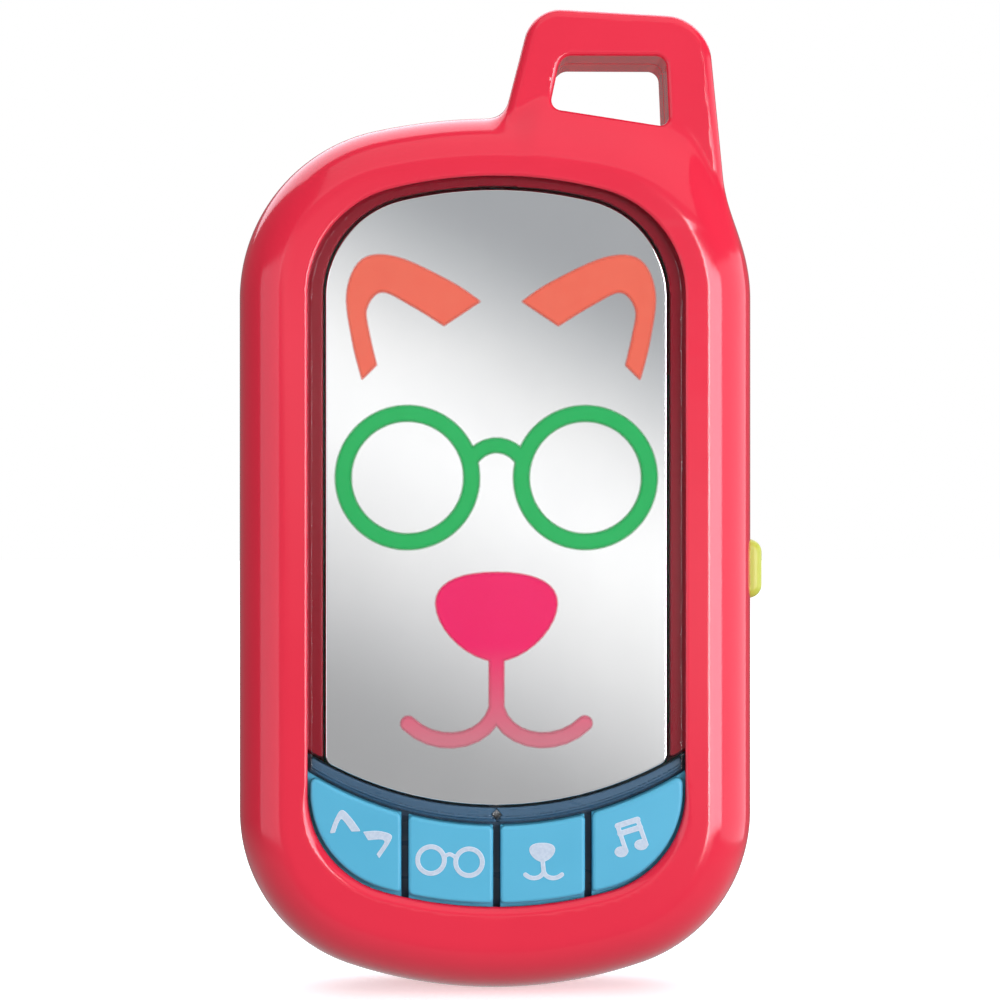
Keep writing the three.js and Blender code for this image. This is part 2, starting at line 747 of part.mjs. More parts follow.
const clear = new THREE.MeshStandardMaterial({
  color: 0x8c8f96,
  roughness: 0.05,
  metalness: 0,
  transparent: true,
  opacity: 0.3,
});
const red = plastic(0xef4152);
const skyBlue = plastic(0x5bb5d8);
const coral = plastic(0xf37160);
const pink = plastic(0xee386e);
const green = plastic(0x38b668);
const white = plastic(0xf2f2ee);
const steel = metal(0xb9bcc0);

// Adds a named piece to the phone, from a solid or a geometry, at a place.
function add(name, shape, material, place = [0, 0, 0], turn = [0, 0, 0]) {
  const geometry = shape.isBufferGeometry ? shape : geometryOf(shape);
  const mesh = new THREE.Mesh(geometry, material);
  mesh.name = name;
  mesh.position.set(...place);
  mesh.rotation.set(...turn);
  phone.add(mesh);
}

add("front_housing", frontHousing(), red);
add("rear_housing", rearHousing(), red);
add("window_lens", slab(arcedOutline(LENS), LENS_Y), clear);
add("mirror_panel", slab(arcedOutline(MIRROR), MIRROR_Y), metal(0xe6e7ea, 0.05));
add("left_ear_filter", slab(earOutline(-1), FILTER_Y, { segments: 2 }), coral);
add("right_ear_filter", slab(earOutline(1), FILTER_Y, { segments: 2 }), coral);
add("glasses_filter", glassesFilter(), green);
add("nose_filter", noseFilter(), pink);
add("light_box", lightBox(), white);

const ledPlaces = {
  left_ear_led: [-15, 110],
  right_ear_led: [15, 110],
  left_eye_led: [-GLASSES.x, GLASSES.z],
  right_eye_led: [GLASSES.x, GLASSES.z],
  nose_led: [0, 58],
};
for (const [name, at] of Object.entries(ledPlaces)) add(name, led(at), plastic(0xfff4c9, 0.2));

["ears_key", "glasses_key", "nose_key", "music_key"].forEach((name, i) => {
  add(name, keyCap(i), skyBlue);
});
add("key_frame", keyFrame(), plastic(0x3a5b74));
add("rubber_keypad", rubberKeypad(), plastic(0x9aa3a8, 0.8));

add("switch_knob", switchKnob(), plastic(0xd5d85c));
add("switch_body", switchBody(), steel);

add("main_board", mainBoard(), plastic(0x1f6b3a));
add("sound_chip", rod([27.5, 85], 4.8, [BOARD_Y[1] + GAP, 0.8], { backR: 2.2 }), plastic(0x111111));
add("capacitor", rod([-28, 84], 2.5, [BOARD_Y[1] + GAP, 4]), plastic(0x2a2d55));
add("microphone", rod(MICROPHONE, 1.9, [-6.2, BOARD_Y[0] - GAP]), steel);

const speakerAt = [0, 0, SPEAKER.z];
add("speaker_frame", speakerFrame(), steel, speakerAt);
add("speaker_cone", speakerCone(), plastic(0x26262a, 0.9), speakerAt);
add("speaker_magnet", speakerMagnet(), metal(0x55585c, 0.5), speakerAt);
add("left_speaker_wire", speakerWire(-1), plastic(0xc02020));
add("right_speaker_wire", speakerWire(1), plastic(0x202020));

// The outer cells stand nub up, the middle one nub down; a spring presses on each flat end.
const cellLow = BAY.z[0] + 2 * GAP + CONTACT;
const springRoom = 3.8;
[-1, 0, 1].forEach((lane, i) => {
  const x = lane * CELL.pitch;
  const isUp = lane !== 0;
  const whole = CELL.length + CELL.nub;
  const top = cellLow + whole + springRoom;
  const turn = isUp ? [0, 0, 0] : [Math.PI, 0, 0];
  add(`battery_cell_${i + 1}`, cellGeometry(), plastic(0x3b3f46, 0.3),
    [x, CELL.y, isUp ? cellLow + springRoom : top - springRoom], turn);
  add(`battery_spring_${i + 1}`, springGeometry(), steel, [x, CELL.y, isUp ? cellLow : top], turn);
});
for (const contact of CONTACTS) add(contact.name, contactPlate(contact), steel);

add("battery_door", batteryDoor(), red);
const doorScrew = { headR: 2.3, head: [12.15, 12.9], shankR: 1, tip: 5 };
add("battery_door_screw", screw([0, DOOR_SCREW_Z], doorScrew), steel);

const caseHead = [CASE_SCREW.seat + GAP, CASE_SCREW.seat + 1.9];
const boardHead = [BOARD_Y[1] + GAP, BOARD_Y[1] + 1.5];
placesOf(CASE_SCREW).forEach((at, i) => {
  add(`case_screw_${i + 1}`, screw(at, { headR: 2.3, head: caseHead, shankR: 1.15, tip: -7.5 }), steel);
});
placesOf(BOARD_SCREW).forEach((at, i) => {
  add(`board_screw_${i + 1}`, screw(at, { headR: 2, head: boardHead, shankR: 0.85, tip: -8 }), steel);
});

export default phone;
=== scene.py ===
"""Looks of the toy cell phone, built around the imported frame.

Moulded shells, keys and knobs are surfaces of distance fields: each field is negative inside a
piece, in millimetres, and is meshed, settled onto the exact surface and given its exact normals.
Flat pieces are prisms, round ones are turned, and printed or lit shapes are filled curves.
"""

import json
import math
from collections import namedtuple

import bpy
import numpy as np
import openvdb
from mathutils import Matrix, Vector


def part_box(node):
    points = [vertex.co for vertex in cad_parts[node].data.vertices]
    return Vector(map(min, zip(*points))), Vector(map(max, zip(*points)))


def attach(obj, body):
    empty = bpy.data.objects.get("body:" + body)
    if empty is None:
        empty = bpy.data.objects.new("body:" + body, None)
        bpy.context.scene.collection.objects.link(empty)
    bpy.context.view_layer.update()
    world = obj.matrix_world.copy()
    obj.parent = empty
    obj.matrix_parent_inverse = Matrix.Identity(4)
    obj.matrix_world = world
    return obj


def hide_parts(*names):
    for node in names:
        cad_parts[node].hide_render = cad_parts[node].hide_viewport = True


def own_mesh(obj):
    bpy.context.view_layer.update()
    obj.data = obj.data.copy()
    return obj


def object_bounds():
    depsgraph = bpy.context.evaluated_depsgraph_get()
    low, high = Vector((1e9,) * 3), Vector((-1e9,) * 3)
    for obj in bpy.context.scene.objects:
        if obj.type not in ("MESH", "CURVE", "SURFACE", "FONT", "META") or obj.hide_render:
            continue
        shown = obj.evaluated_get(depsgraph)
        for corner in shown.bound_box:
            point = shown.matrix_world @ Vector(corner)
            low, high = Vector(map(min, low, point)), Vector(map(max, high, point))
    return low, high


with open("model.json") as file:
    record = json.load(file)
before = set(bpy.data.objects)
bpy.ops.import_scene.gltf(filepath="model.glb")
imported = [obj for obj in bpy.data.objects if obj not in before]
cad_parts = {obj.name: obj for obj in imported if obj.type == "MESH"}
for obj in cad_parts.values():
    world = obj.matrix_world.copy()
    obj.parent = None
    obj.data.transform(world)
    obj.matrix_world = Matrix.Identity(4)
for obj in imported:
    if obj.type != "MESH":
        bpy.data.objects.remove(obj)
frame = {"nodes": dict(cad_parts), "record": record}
cad_low, cad_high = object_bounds()

MM = 0.001


def span(node, axis):
    """Lowest and highest coordinate of a CAD node along an axis, in millimetres."""
    low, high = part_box(node)
    index = "xyz".index(axis)
    return low[index] / MM, high[index] / MM


def node_box(node, margin=0.0):
    """The lowest and highest corner of a CAD node in millimetres, grown by a margin."""
    low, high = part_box(node)
    return [v / MM - margin for v in low], [v / MM + margin for v in high]


# ---- sizes, in millimetres

# An outline with straight sides. Each end is (z, radius of its large arc, radius of its corners).
Arced = namedtuple("Arced", "half bottom top")

CASE_X = span("rear_housing", "x")
MID_X = sum(CASE_X) / 2
HALF_DEPTH = span("rear_housing", "y")[1]
WALL = 2.2
SEAM = 0.06
LIP = (2.35, 3.4)  # how far in from the outline the rear half's lip begins and ends
LIP_Y = (-1.4, 1.6)
EDGE = 0.3  # radius of small moulded edges

LENS_FIT = 0.35
LENS_X, LENS_Y, LENS_Z = (span("window_lens", axis) for axis in "xyz")
MIRROR_X, MIRROR_Y, MIRROR_Z = (span("mirror_panel", axis) for axis in "xyz")

CASE = Arced((CASE_X[1] - CASE_X[0]) / 2, (0, 74.6, 26.2), (141.8, 91.8, 28))
OPENING = Arced(
    (LENS_X[1] - LENS_X[0]) / 2 + LENS_FIT, (14.6, 68, 16.5), (LENS_Z[1] + LENS_FIT, 68, 17.5)
)
MIRROR = Arced((MIRROR_X[1] - MIRROR_X[0]) / 2, (MIRROR_Z[0], 57.5, 2), (MIRROR_Z[1], 66, 16))
SHOULDER = (8.3, 11)  # how far the case's round edge comes in, and how deep it is
OPENING_RIM = (0.45, 1.8)  # radius of the opening's edge beside the mirror and below the keys
OPENING_RIM_Z = (36, 24)  # heights between which the one runs into the other
PAINTED_SHADE_Y = (-12.75, -12.35)  # depths over which painted shade turns the case's red deep in the opening
LEDGE = 1.8
LEDGE_Y = (-10.8, -9.4)

LOOP_HALF_DEPTH = 8.5
LOOP_EDGE = (1.6, 1.8)  # as SHOULDER, for the loop
HOLE_EDGE = 0.7
# The loop's sides run through points (x from the case's middle, z), with the solid on their left.
LOOP_LEFT = ((5.9, 159.2), (1.5, 142.1))
LOOP_TOP = ((34.3, 157.7), (5.9, 159.2))
LOOP_RIGHT = ((37.3, 127.2), (34.3, 157.7))
LOOP_CORNERS = (4.6, 6.5)  # radii at the top left and top right
LOOP_FOOT_Z = 119
LOOP_SOFTNESS = (3, 6)  # of the hollow where it meets the case, at its rim and on its face
LOOP_HOLE = ((8.6, 142.7), (28, 139.8), (27.5, 151.3), (10.4, 151.3))
HOLE_CORNER = 1.8

KEY_NODES = ("ears_key", "glasses_key", "nose_key", "music_key")
KEY_ARC = (84.95, 57.6)  # middle height and radius of the circle along the keys' top edge
KEY_FIT = 0.4
KEY_PITCH = 14.7
KEY_GAP = 1.15
KEY_EDGE = 0.55
KEY_CORNERS = (0.8, 1.5)  # radii of a key's inner corners and of the end keys' upper outer ones
KEY_FLANGE_Y = (-10.45, -9.6)
KEY_FLANGE_OUT = 0.6
KEY_X = [(i - 1.5) * KEY_PITCH for i in range(4)]  # from the case's middle
KEY_Z = (25.4, 21.6, 21.6, 25.4)  # heights of the keys' plungers and pictures
PICTURE_ROOM = (6.2, 5.2, 5.6)  # how far a key's picture may reach to the sides, down and up
PLUNGER = 2.4
PORT_Z = 28.9
PORT_HALF = 0.9

LENS = Arced(
    OPENING.half - LENS_FIT,
    (LENS_Z[0], KEY_ARC[1] - KEY_FIT, 0.8),
    (LENS_Z[1], OPENING.top[1] - LENS_FIT, OPENING.top[2] - LENS_FIT),
)

SCREW_AT = [(x, z) for x in (-34.2, 34.2) for z in (30, 106)]
SCREW_HOLE = 1.5
HEAD_ROOM = 2.7  # radius of the wells for screw heads
HEAD_SEAT_Y = 4.5
FRONT_BOSS = (2.8, (-11.5, -0.4))  # radius, and where it starts and ends in depth
REAR_BOSS = (4.5, (0.4, 12))
THREAD = (0.9, 0.12)  # pitch and depth
CROSS = (0.3, 1.3, 0.75)  # half width, reach and depth of the cross in a screw's head

DOOR_X, DOOR_Y, DOOR_Z = (span("battery_door", axis) for axis in "xyz")
DOOR_CORNER = 4
DOOR_FIT = 0.35
DOOR_TAB = 1.6
DOOR_TAB_X = (6, 14)
DOOR_SCREW_Z = 40.2
DOOR_SCREW_HOLE = 1.4
DOOR_SCREW_BOSS = 3
DOOR_SEAT = 1.8  # thickness of the seat behind the door
GROOVE = (7, 1.1, 0.5)  # half length, width and depth of a finger groove
GROOVE_Z = [84 + 2.6 * i for i in range(4)]

TUB = ((-20.2, 20.2), (43.9, 97.6))  # the battery room's outside, across and up
TUB_ROOM = ((-18.6, 18.6), (45.5, 96))
CELL_NUB = (1.2, 2.2, 1.6)  # length of a cell's nub, its radius at its foot and at its top
SPRING_WIRE = 0.35
SPRING_TURNS = 3.5
SPRING_REACH = (4, 2.4)  # radius at the wide and the narrow end

SPEAKER = (117, 15)  # height of its middle, radius
SPEAKER_RING = (1.8, 8.4)  # how far it reaches past the loudspeaker, and where it starts
GRILLE_PITCH = 4.2
GRILLE_HOLE = 1.1

SWITCH_Z = span("switch_knob", "z")
SWITCH_REACH = 2.6  # how far the knob's flange reaches past the knob
SWITCH_TRAVEL = 2
SWITCH_PROUD = 2
SWITCH_HALF = 3  # half the knob's depth
SWITCH_KNOB_X = 37.5  # where the knob starts, from the case's middle
SWITCH_SLOT_X = 37
SWITCH_FIT = 0.3
SWITCH_FLANGE = ((37.2, 38.9), (-4.4, 4.4))  # across from the case's middle, and in depth
SWITCH_TONGUE = ((33.4, 38), (0.3, 1.7))
SWITCH_TONGUE_HALF = 1

PAD_Y = (-4.2, -3.4)
DOME = (4.2, 3.0, 1.2)  # outer and inner radius of a keypad dome, and its height
MARK_Z = {"quiet_mark": 82.4, "loud_mark": 56.5}
MARK_ROOM = 2  # how far a mark may reach


# ---- distance fields

def trim(a, b, radius=0.0):
    """What is inside both a and b, with a round edge where they meet."""
    corner = np.hypot(np.maximum(a + radius, 0), np.maximum(b + radius, 0))
    return np.minimum(np.maximum(a, b), -radius) + corner


def carve(a, b, radius=0.0):
    """What is inside a and outside b."""
    return trim(a, -b, radius)


def fuse(a, b, radius=0.0):
    """What is inside a or b, with a fillet where they meet."""
    corner = np.hypot(np.maximum(radius - a, 0), np.maximum(radius - b, 0))
    return np.maximum(np.minimum(a, b), radius) - corner


def melt(a, b, softness):
    """What is inside a or b, with a hollow where they meet that never swells past softness / 4."""
    near = np.maximum(softness - np.abs(a - b), 0)
    return np.minimum(a, b) - near**2 / (4 * softness)


def ramp(value, start, end):
    """Runs smoothly from 0 at start to 1 at end."""
    t = np.clip((value - start) / (end - start), 0, 1)
    return t * t * (3 - 2 * t)


def between(value, low, high):
    return np.abs(value - (low + high) / 2) - (high - low) / 2


def arced(x, z, shape):
    """Distance from an outline with straight sides and arced ends."""
    ax = np.abs(x - MID_X)
    far = ax - shape.half + 0 * z
    for up, (end, arc, corner) in ((-1, shape.bottom), (1, shape.top)):
        corner_x = shape.half - corner
        middle = end - up * arc
        rise = math.sqrt((arc - corner) ** 2 - corner_x**2)
        corner_z = middle + up * rise
        to_corner = np.hypot(ax - corner_x, z - corner_z) - corner
        to_arc = np.hypot(ax, z - middle) - arc
        steep = up * (z - middle) * corner_x > ax * rise
        far = np.where(up * (z - corner_z) > 0, np.where(steep, to_arc, to_corner), far)
    return far


def side_of(x, z, line):
    """Distance to the right of a straight line through two points."""
    (ax, az), (bx, bz) = line
    length = math.hypot(bx - ax, bz - az)
    return ((x - MID_X - ax) * (bz - az) - (z - az) * (bx - ax)) / length


def disc(x, z, at, radius):
    return np.hypot(x - MID_X - at[0], z - at[1]) - radius


def pillar(x, y, z, at, radius, depths):
    return trim(disc(x, z, at, radius), between(y, *depths))


def at_screws(x, y, z, radius, depths):
    """Pillars at the places of the four case screws."""
    return np.minimum.reduce([pillar(x, y, z, at, radius, depths) for at in SCREW_AT])


def round_box(x, z, x_span, z_span, corner):
    """Distance from a rectangle with round corners; x is counted from the case's middle."""
    return trim(between(x - MID_X, *x_span), between(z, *z_span), corner)


def shouldered(outline, y, half_depth, shoulder):
    """A slab of an outline whose rims are quarter ellipses."""
    run, deep = shoulder
    across = np.maximum(outline + run, 0)
    along = np.maximum(np.abs(y) - (half_depth - deep), 0)
    near = np.hypot(across / run, along / deep)
    slope = np.hypot(across / run**2, along / deep**2)
    rounded = near * (near - 1) / np.maximum(slope, 1e-6)
    core = np.maximum(outline, np.abs(y) - half_depth)
    return np.where(slope > 1e-5, rounded, core)


def loop_outline(x, z):
    top_left, top_right = LOOP_CORNERS
    left = trim(side_of(x, z, LOOP_LEFT), side_of(x, z, LOOP_TOP), top_left)
    return trim(trim(left, side_of(x, z, LOOP_RIGHT), top_right), LOOP_FOOT_Z - z)


def loop_hole(x, z):
    sides = list(zip(LOOP_HOLE, LOOP_HOLE[1:] + LOOP_HOLE[:1]))
    hole = side_of(x, z, sides[0])
    for side in sides[1:]:
        hole = trim(hole, side_of(x, z, side), HOLE_CORNER)
    return hole


def case_slab(x, y, z, wall=0.0):
    """The case and its thinner loop, inset by a wall; they meet in a soft hollow."""
    slabs = [
        shouldered(outline + wall, y, half_depth - wall, (run - 0.5 * wall, deep - 0.5 * wall))
        for outline, half_depth, (run, deep) in (
            (arced(x, z, CASE), HALF_DEPTH, SHOULDER),
            (loop_outline(x, z), LOOP_HALF_DEPTH, LOOP_EDGE),
        )
    ]
    rim, face = LOOP_SOFTNESS
    softness = rim + (face - rim) * ramp(-loop_outline(x, z), 1, 6)
    return melt(*slabs, softness)


def case_wall(x, y, z):
    hole = loop_hole(x, z)
    hollow = carve(case_slab(x, y, z, WALL), hole - WALL)
    return carve(carve(case_slab(x, y, z), hole, HOLE_EDGE), hollow)


def seam_lip(x, y, z):
    """A lip on the rear half that reaches past the seam, inside the front half's wall."""
    outline = melt(arced(x, z, CASE), loop_outline(x, z), LOOP_SOFTNESS[0])
    band = trim(between(-outline, *LIP), between(y, *LIP_Y))
    near_switch = trim(30 + MID_X - x, between(z, SWITCH_Z[0] - 1, SWITCH_Z[1] + SWITCH_TRAVEL + 1))
    return carve(carve(band, near_switch), loop_hole(x, z) - LIP[0])


def switch_slot(x, y, z):
    low = SWITCH_Z[0] + SWITCH_REACH - SWITCH_FIT
    high = SWITCH_Z[1] - SWITCH_REACH + SWITCH_TRAVEL + SWITCH_FIT
    half = SWITCH_HALF + SWITCH_FIT
    return trim(trim(between(y, -half, half), between(z, low, high), 1.2), SWITCH_SLOT_X + MID_X - x)


def above_keys(x, z, lower=0.0):
    """Negative above the circle along the keys' top edge, which may be moved down."""
    middle, radius = KEY_ARC
    return np.hypot(x - MID_X, z - middle) - radius - lower


def front_shell(x, y, z):
    shell = trim(case_wall(x, y, z), y + SEAM, EDGE)
    opening = arced(x, z, OPENING)
    ledge = trim(opening - LEDGE, between(y, LEDGE_Y[0] - 0.2, LEDGE_Y[1]))
    solid = fuse(fuse(shell, ledge), at_screws(x, y, z, *FRONT_BOSS))
    (upper_rim, lower_rim), (start_z, end_z) = OPENING_RIM, OPENING_RIM_Z
    rim = upper_rim + (lower_rim - upper_rim) * ramp(-z, -start_z, -end_z)
    solid = carve(solid, trim(opening, y - LEDGE_Y[0]), rim)
    solid = carve(solid, trim(arced(x, z, MIRROR) - LENS_FIT, y + 9))
    key_room = trim(carve(opening - 1, above_keys(x, z, -3)), between(y, -11, -9))
    solid = carve(solid, key_room)
    solid = carve(solid, switch_slot(x, y, z), EDGE)
    return carve(solid, at_screws(x, y, z, SCREW_HOLE, (-8.5, 1)))


def grille(x, z):
    """Round holes in rings about the loudspeaker's middle."""
    middle = SPEAKER[0]
    holes = disc(x, z, (0, middle), GRILLE_HOLE)
    for ring in (1, 2):
        for angle in np.linspace(0, math.tau, 6 * ring, endpoint=False):
            reach = ring * GRILLE_PITCH
            at = (reach * math.cos(angle), middle + reach * math.sin(angle))
            holes = np.minimum(holes, disc(x, z, at, GRILLE_HOLE))
    return holes


def door_outline(x, z, grow=0.0):
    z_span = (DOOR_Z[0], DOOR_Z[1] - DOOR_TAB)
    half = (DOOR_X[1] - DOOR_X[0]) / 2
    return round_box(x, z, (-half, half), z_span, DOOR_CORNER) - grow


def door_tabs(x, z, grow=0.0):
    tab = between(np.abs(x - MID_X), DOOR_TAB_X[0] - grow, DOOR_TAB_X[1] + grow)
    return trim(tab, between(z, DOOR_Z[1] - DOOR_TAB - 1, DOOR_Z[1] + grow))


def rear_shell(x, y, z):
    shell = fuse(trim(case_wall(x, y, z), SEAM - y, EDGE), seam_lip(x, y, z))
    within = case_slab(x, y, z, WALL / 2)
    seat_y = DOOR_Y[0] - 0.3
    seat = trim(door_outline(x, z, 2), between(y, seat_y - DOOR_SEAT, seat_y + 0.4))
    tub = trim(round_box(x, z, *TUB, 1), between(y, -0.9, seat_y))
    speaker_at, (ring_out, ring_y) = (0, SPEAKER[0]), SPEAKER_RING
    ring = trim(disc(x, z, speaker_at, SPEAKER[1] + ring_out), between(y, ring_y, 12))
    room = pillar(x, y, z, speaker_at, SPEAKER[1] + 0.3, (6, HALF_DEPTH - WALL))
    solid = fuse(fuse(shell, seat), fuse(tub, carve(ring, room)))
    door_screw = (0, DOOR_SCREW_Z)
    solid = fuse(solid, pillar(x, y, z, door_screw, DOOR_SCREW_BOSS, (3, seat_y - 0.5)))
    solid = fuse(solid, trim(at_screws(x, y, z, *REAR_BOSS), within))
    solid = carve(solid, trim(round_box(x, z, *TUB_ROOM, 1), 0.1 - y), EDGE)
    pocket = fuse(door_outline(x, z, DOOR_FIT), door_tabs(x, z, DOOR_FIT))
    solid = carve(solid, trim(pocket, seat_y - y), 0.35)
    solid = carve(solid, pillar(x, y, z, door_screw, DOOR_SCREW_HOLE, (2, 14)))
    solid = carve(solid, at_screws(x, y, z, SCREW_HOLE, (-1, 14)))
    solid = carve(solid, at_screws(x, y, z, HEAD_ROOM, (HEAD_SEAT_Y, 16)), 0.35)
    solid = carve(solid, trim(grille(x, z), 10 - y), EDGE)
    return carve(solid, switch_slot(x, y, z), EDGE)


def battery_door(x, y, z):
    front, back = DOOR_Y
    plate = trim(door_outline(x, z), between(y, front, back), EDGE)
    tabs = trim(door_tabs(x, z), between(y, front, front + 0.9), EDGE / 2)
    door = fuse(plate, tabs)
    half, width, deep = GROOVE
    for low in GROOVE_Z:
        groove = round_box(x, z, (-half, half), (low, low + width), 0.5)
        door = carve(door, trim(groove, back - deep - y), 0.2)
    at = (0, DOOR_SCREW_Z)
    door = carve(door, pillar(x, y, z, at, SCREW_HOLE, (front - 1, back + 1)))
    return carve(door, pillar(x, y, z, at, HEAD_ROOM, (back - 0.95, back + 1)), 0.25)


def key_cap(i):
    """The field of one key cap with its flange and plunger."""
    front, back = span(KEY_NODES[i], "y")
    half_width = (KEY_PITCH - KEY_GAP) / 2
    left = -math.inf if i == 0 else KEY_X[i] - half_width
    right = math.inf if i == 3 else KEY_X[i] + half_width
    corner = KEY_CORNERS[1] if i in (0, 3) else KEY_CORNERS[0]

    def field(x, y, z):
        lane = np.maximum(left - (x - MID_X), x - MID_X - right)
        above = above_keys(x, z)
        opening = arced(x, z, OPENING)
        face = trim(carve(opening + KEY_FIT, above, corner), lane, KEY_CORNERS[0])
        cap = trim(face, between(y, front, KEY_FLANGE_Y[1]), KEY_EDGE)
        flange = trim(trim(carve(opening - KEY_FLANGE_OUT, above), lane), between(y, *KEY_FLANGE_Y))
        plunger = pillar(x, y, z, (KEY_X[i], KEY_Z[i]), PLUNGER, (KEY_FLANGE_Y[1] - 0.5, back))
        return fuse(fuse(cap, flange), plunger)

    return field


def key_frame(x, y, z):
    """The guide plate; its rib shows as a strip between the mirror and the keys."""
    front, back = span("key_frame", "y")
    opening = arced(x, z, OPENING)
    plate = trim(opening - 1.2, between(y, back - 1, back))
    rib = trim(carve(opening + KEY_FIT, -above_keys(x, z, -KEY_FIT)), between(y, front, back), 0.3)
    lip = trim(np.abs(above_keys(x, z, -1.1)) - 0.25, between(y, front - 0.25, back), 0.2)
    solid = fuse(fuse(plate, rib), trim(lip, opening + KEY_FIT))
    mirror_middle, mirror_radius = MIRROR_Z[0] + MIRROR.bottom[1], MIRROR.bottom[1]
    above_mirror = np.hypot(x - MID_X, z - mirror_middle) - mirror_radius - LENS_FIT
    solid = carve(solid, above_mirror, 0.25)
    port = (np.abs(x - MID_X) + np.abs(z - PORT_Z) - PORT_HALF) / math.sqrt(2)
    solid = carve(solid, port, 0.2)
    for at in zip(KEY_X, KEY_Z):
        solid = carve(solid, disc(x, z, at, PLUNGER + 0.35))
    return solid


def switch_knob(x, y, z):
    """A rounded knob on a flange behind the case wall, with a tongue into the switch."""
    low, high = SWITCH_Z[0] + SWITCH_REACH, SWITCH_Z[1] - SWITCH_REACH
    tip = CASE.half + SWITCH_PROUD
    depths = (-SWITCH_HALF, SWITCH_HALF)
    knob = trim(round_box(x, z, (30, tip), (low, high), 2.2), between(y, *depths), 1.4)
    knob = trim(knob, SWITCH_KNOB_X + MID_X - x)
    flange_x, flange_y = SWITCH_FLANGE
    flange = trim(round_box(x, z, flange_x, SWITCH_Z, 0), between(y, *flange_y))
    tongue_x, tongue_y = SWITCH_TONGUE
    middle = sum(SWITCH_Z) / 2
    tongue_z = (middle - SWITCH_TONGUE_HALF, middle + SWITCH_TONGUE_HALF)
    tongue = trim(round_box(x, z, tongue_x, tongue_z, 0), between(y, *tongue_y))
    return fuse(fuse(knob, flange), tongue)


def screw(node, head_height):
    """The field of a cross-headed screw that fills a CAD node's box."""
    (x0, y0, z0), (x1, y1, z1) = node_box(node)
    middle_x, middle_z, radius = (x0 + x1) / 2, (z0 + z1) / 2, (x1 - x0) / 2
    pitch, depth = THREAD
    half, arm, sunk = CROSS

    def field(x, y, z):
        px, pz = x - middle_x, z - middle_z
        reach = np.hypot(px, pz)
        head = trim(reach - radius, between(y, y1 - head_height, y1), 0.35)
        thread = depth * np.sin(math.tau * y / pitch + np.arctan2(pz, px))
        shank = trim(reach - radius / 2 + 0.15 + thread, between(y, y0, y1 - head_height))
        upright = trim(np.abs(px) - half, np.abs(pz) - arm)
        level = trim(np.abs(pz) - half, np.abs(px) - arm)
        return carve(fuse(head, shank), trim(np.minimum(upright, level), y1 - sunk - y), 0.08)

    return field


def keypad_sheet(x, y, z):
    sheet = trim(key_floor(x, z), between(y, *PAD_Y), 0.15)
    return carve(sheet, disc(x, z, (0, PORT_Z), 2.2))


def key_floor(x, z):
    return carve(arced(x, z, OPENING) + 2, above_keys(x, z, 1.6), 0.8)


def stroke(x, z, path, width):
    """Distance from a stroke of even width, with round ends, along a path."""
    far = np.inf
    for (ax, az), (bx, bz) in zip(path, path[1:]):
        ex, ez = bx - ax, bz - az
        px, pz = x - MID_X - ax, z - az
        t = np.clip((px * ex + pz * ez) / (ex * ex + ez * ez), 0, 1)
        far = np.minimum(far, np.hypot(px - t * ex, pz - t * ez))
    return far - width / 2


def polygon(x, z, outline):
    """Distance from a closed outline."""
    closed = [*outline, outline[0]]
    far = stroke(x, z, closed, 0)
    inside = np.zeros(far.shape, bool)
    for (ax, az), (bx, bz) in zip(closed, closed[1:]):
        if az == bz:
            continue
        crossing = (bx - ax) * (z - az) / (bz - az) + ax
        inside ^= ((az > z) != (bz > z)) & (x - MID_X < crossing)
    return np.where(inside, -far, far)


def through(points, steps=6):
    """A smooth path through points, which start and end it."""
    ghosts = [points[0], *points, points[-1]]
    path = []
    for before, start, end, after in zip(ghosts, ghosts[1:], ghosts[2:], ghosts[3:]):
        for t in np.linspace(0, 1, steps, endpoint=False):
            path.append([
                0.5 * (2 * b + (c - a) * t + (2 * a - 5 * b + 4 * c - d) * t**2
                       + (3 * b - a - 3 * c + d) * t**3)
                for a, b, c, d in zip(before, start, end, after)
            ])
    return [*path, points[-1]]


def bezier(start, first, second, end, steps=10):
    return [
        [
            a * (1 - t) ** 3 + 3 * b * t * (1 - t) ** 2 + 3 * c * t * t * (1 - t) + d * t**3
            for a, b, c, d in zip(start, first, second, end)
        ]
        for t in np.linspace(0, 1, steps)
    ]


# ---- the dog face and the key pictures

EARS_X = 0.75  # the ears' middle
GLASSES = (14.3, 83.1, 11.5, 9.1)  # x of each rim's middle, height, outer and inner radius
LINE = 2.2  # width of the bridge, stem and mouth


def ear(side):
    """A band that rises from the cheek, turns at the top and falls towards the brow."""
    outer = [
        (22.3, 99), (23.8, 105), (24.7, 112.7), (22.3, 118), (16.8, 118.4), (8.2, 114.5), (3.5, 111.4)
    ]
    inner = [(9.2, 107.6), (14.4, 110.8), (19.2, 113), (21.7, 110.2), (21.2, 105.9), (20.1, 101.2)]
    outline = [(EARS_X + side * px, pz) for px, pz in (*through(outer), *through(inner))]
    return lambda x, z: polygon(x, z, outline)


def glasses(x, z):
    rim_x, height, outer, inner = GLASSES
    rims = np.abs(np.hypot(np.abs(x - MID_X) - rim_x, z - height) - (outer + inner) / 2)
    bridge = bezier((-4.2, 85.9), (-2, 89.1), (2, 89.1), (4.2, 85.9))
    return np.minimum(rims - (outer - inner) / 2, stroke(x, z, bridge, LINE))


def mouth_path(side, scale=1.0, at=(0, 0)):
    points = bezier((0, 46), (1.6 * side, 40.2), (9.8 * side, 39.2), (14.2 * side, 43.6))
    return [(at[0] + scale * px, at[1] + scale * pz) for px, pz in points]


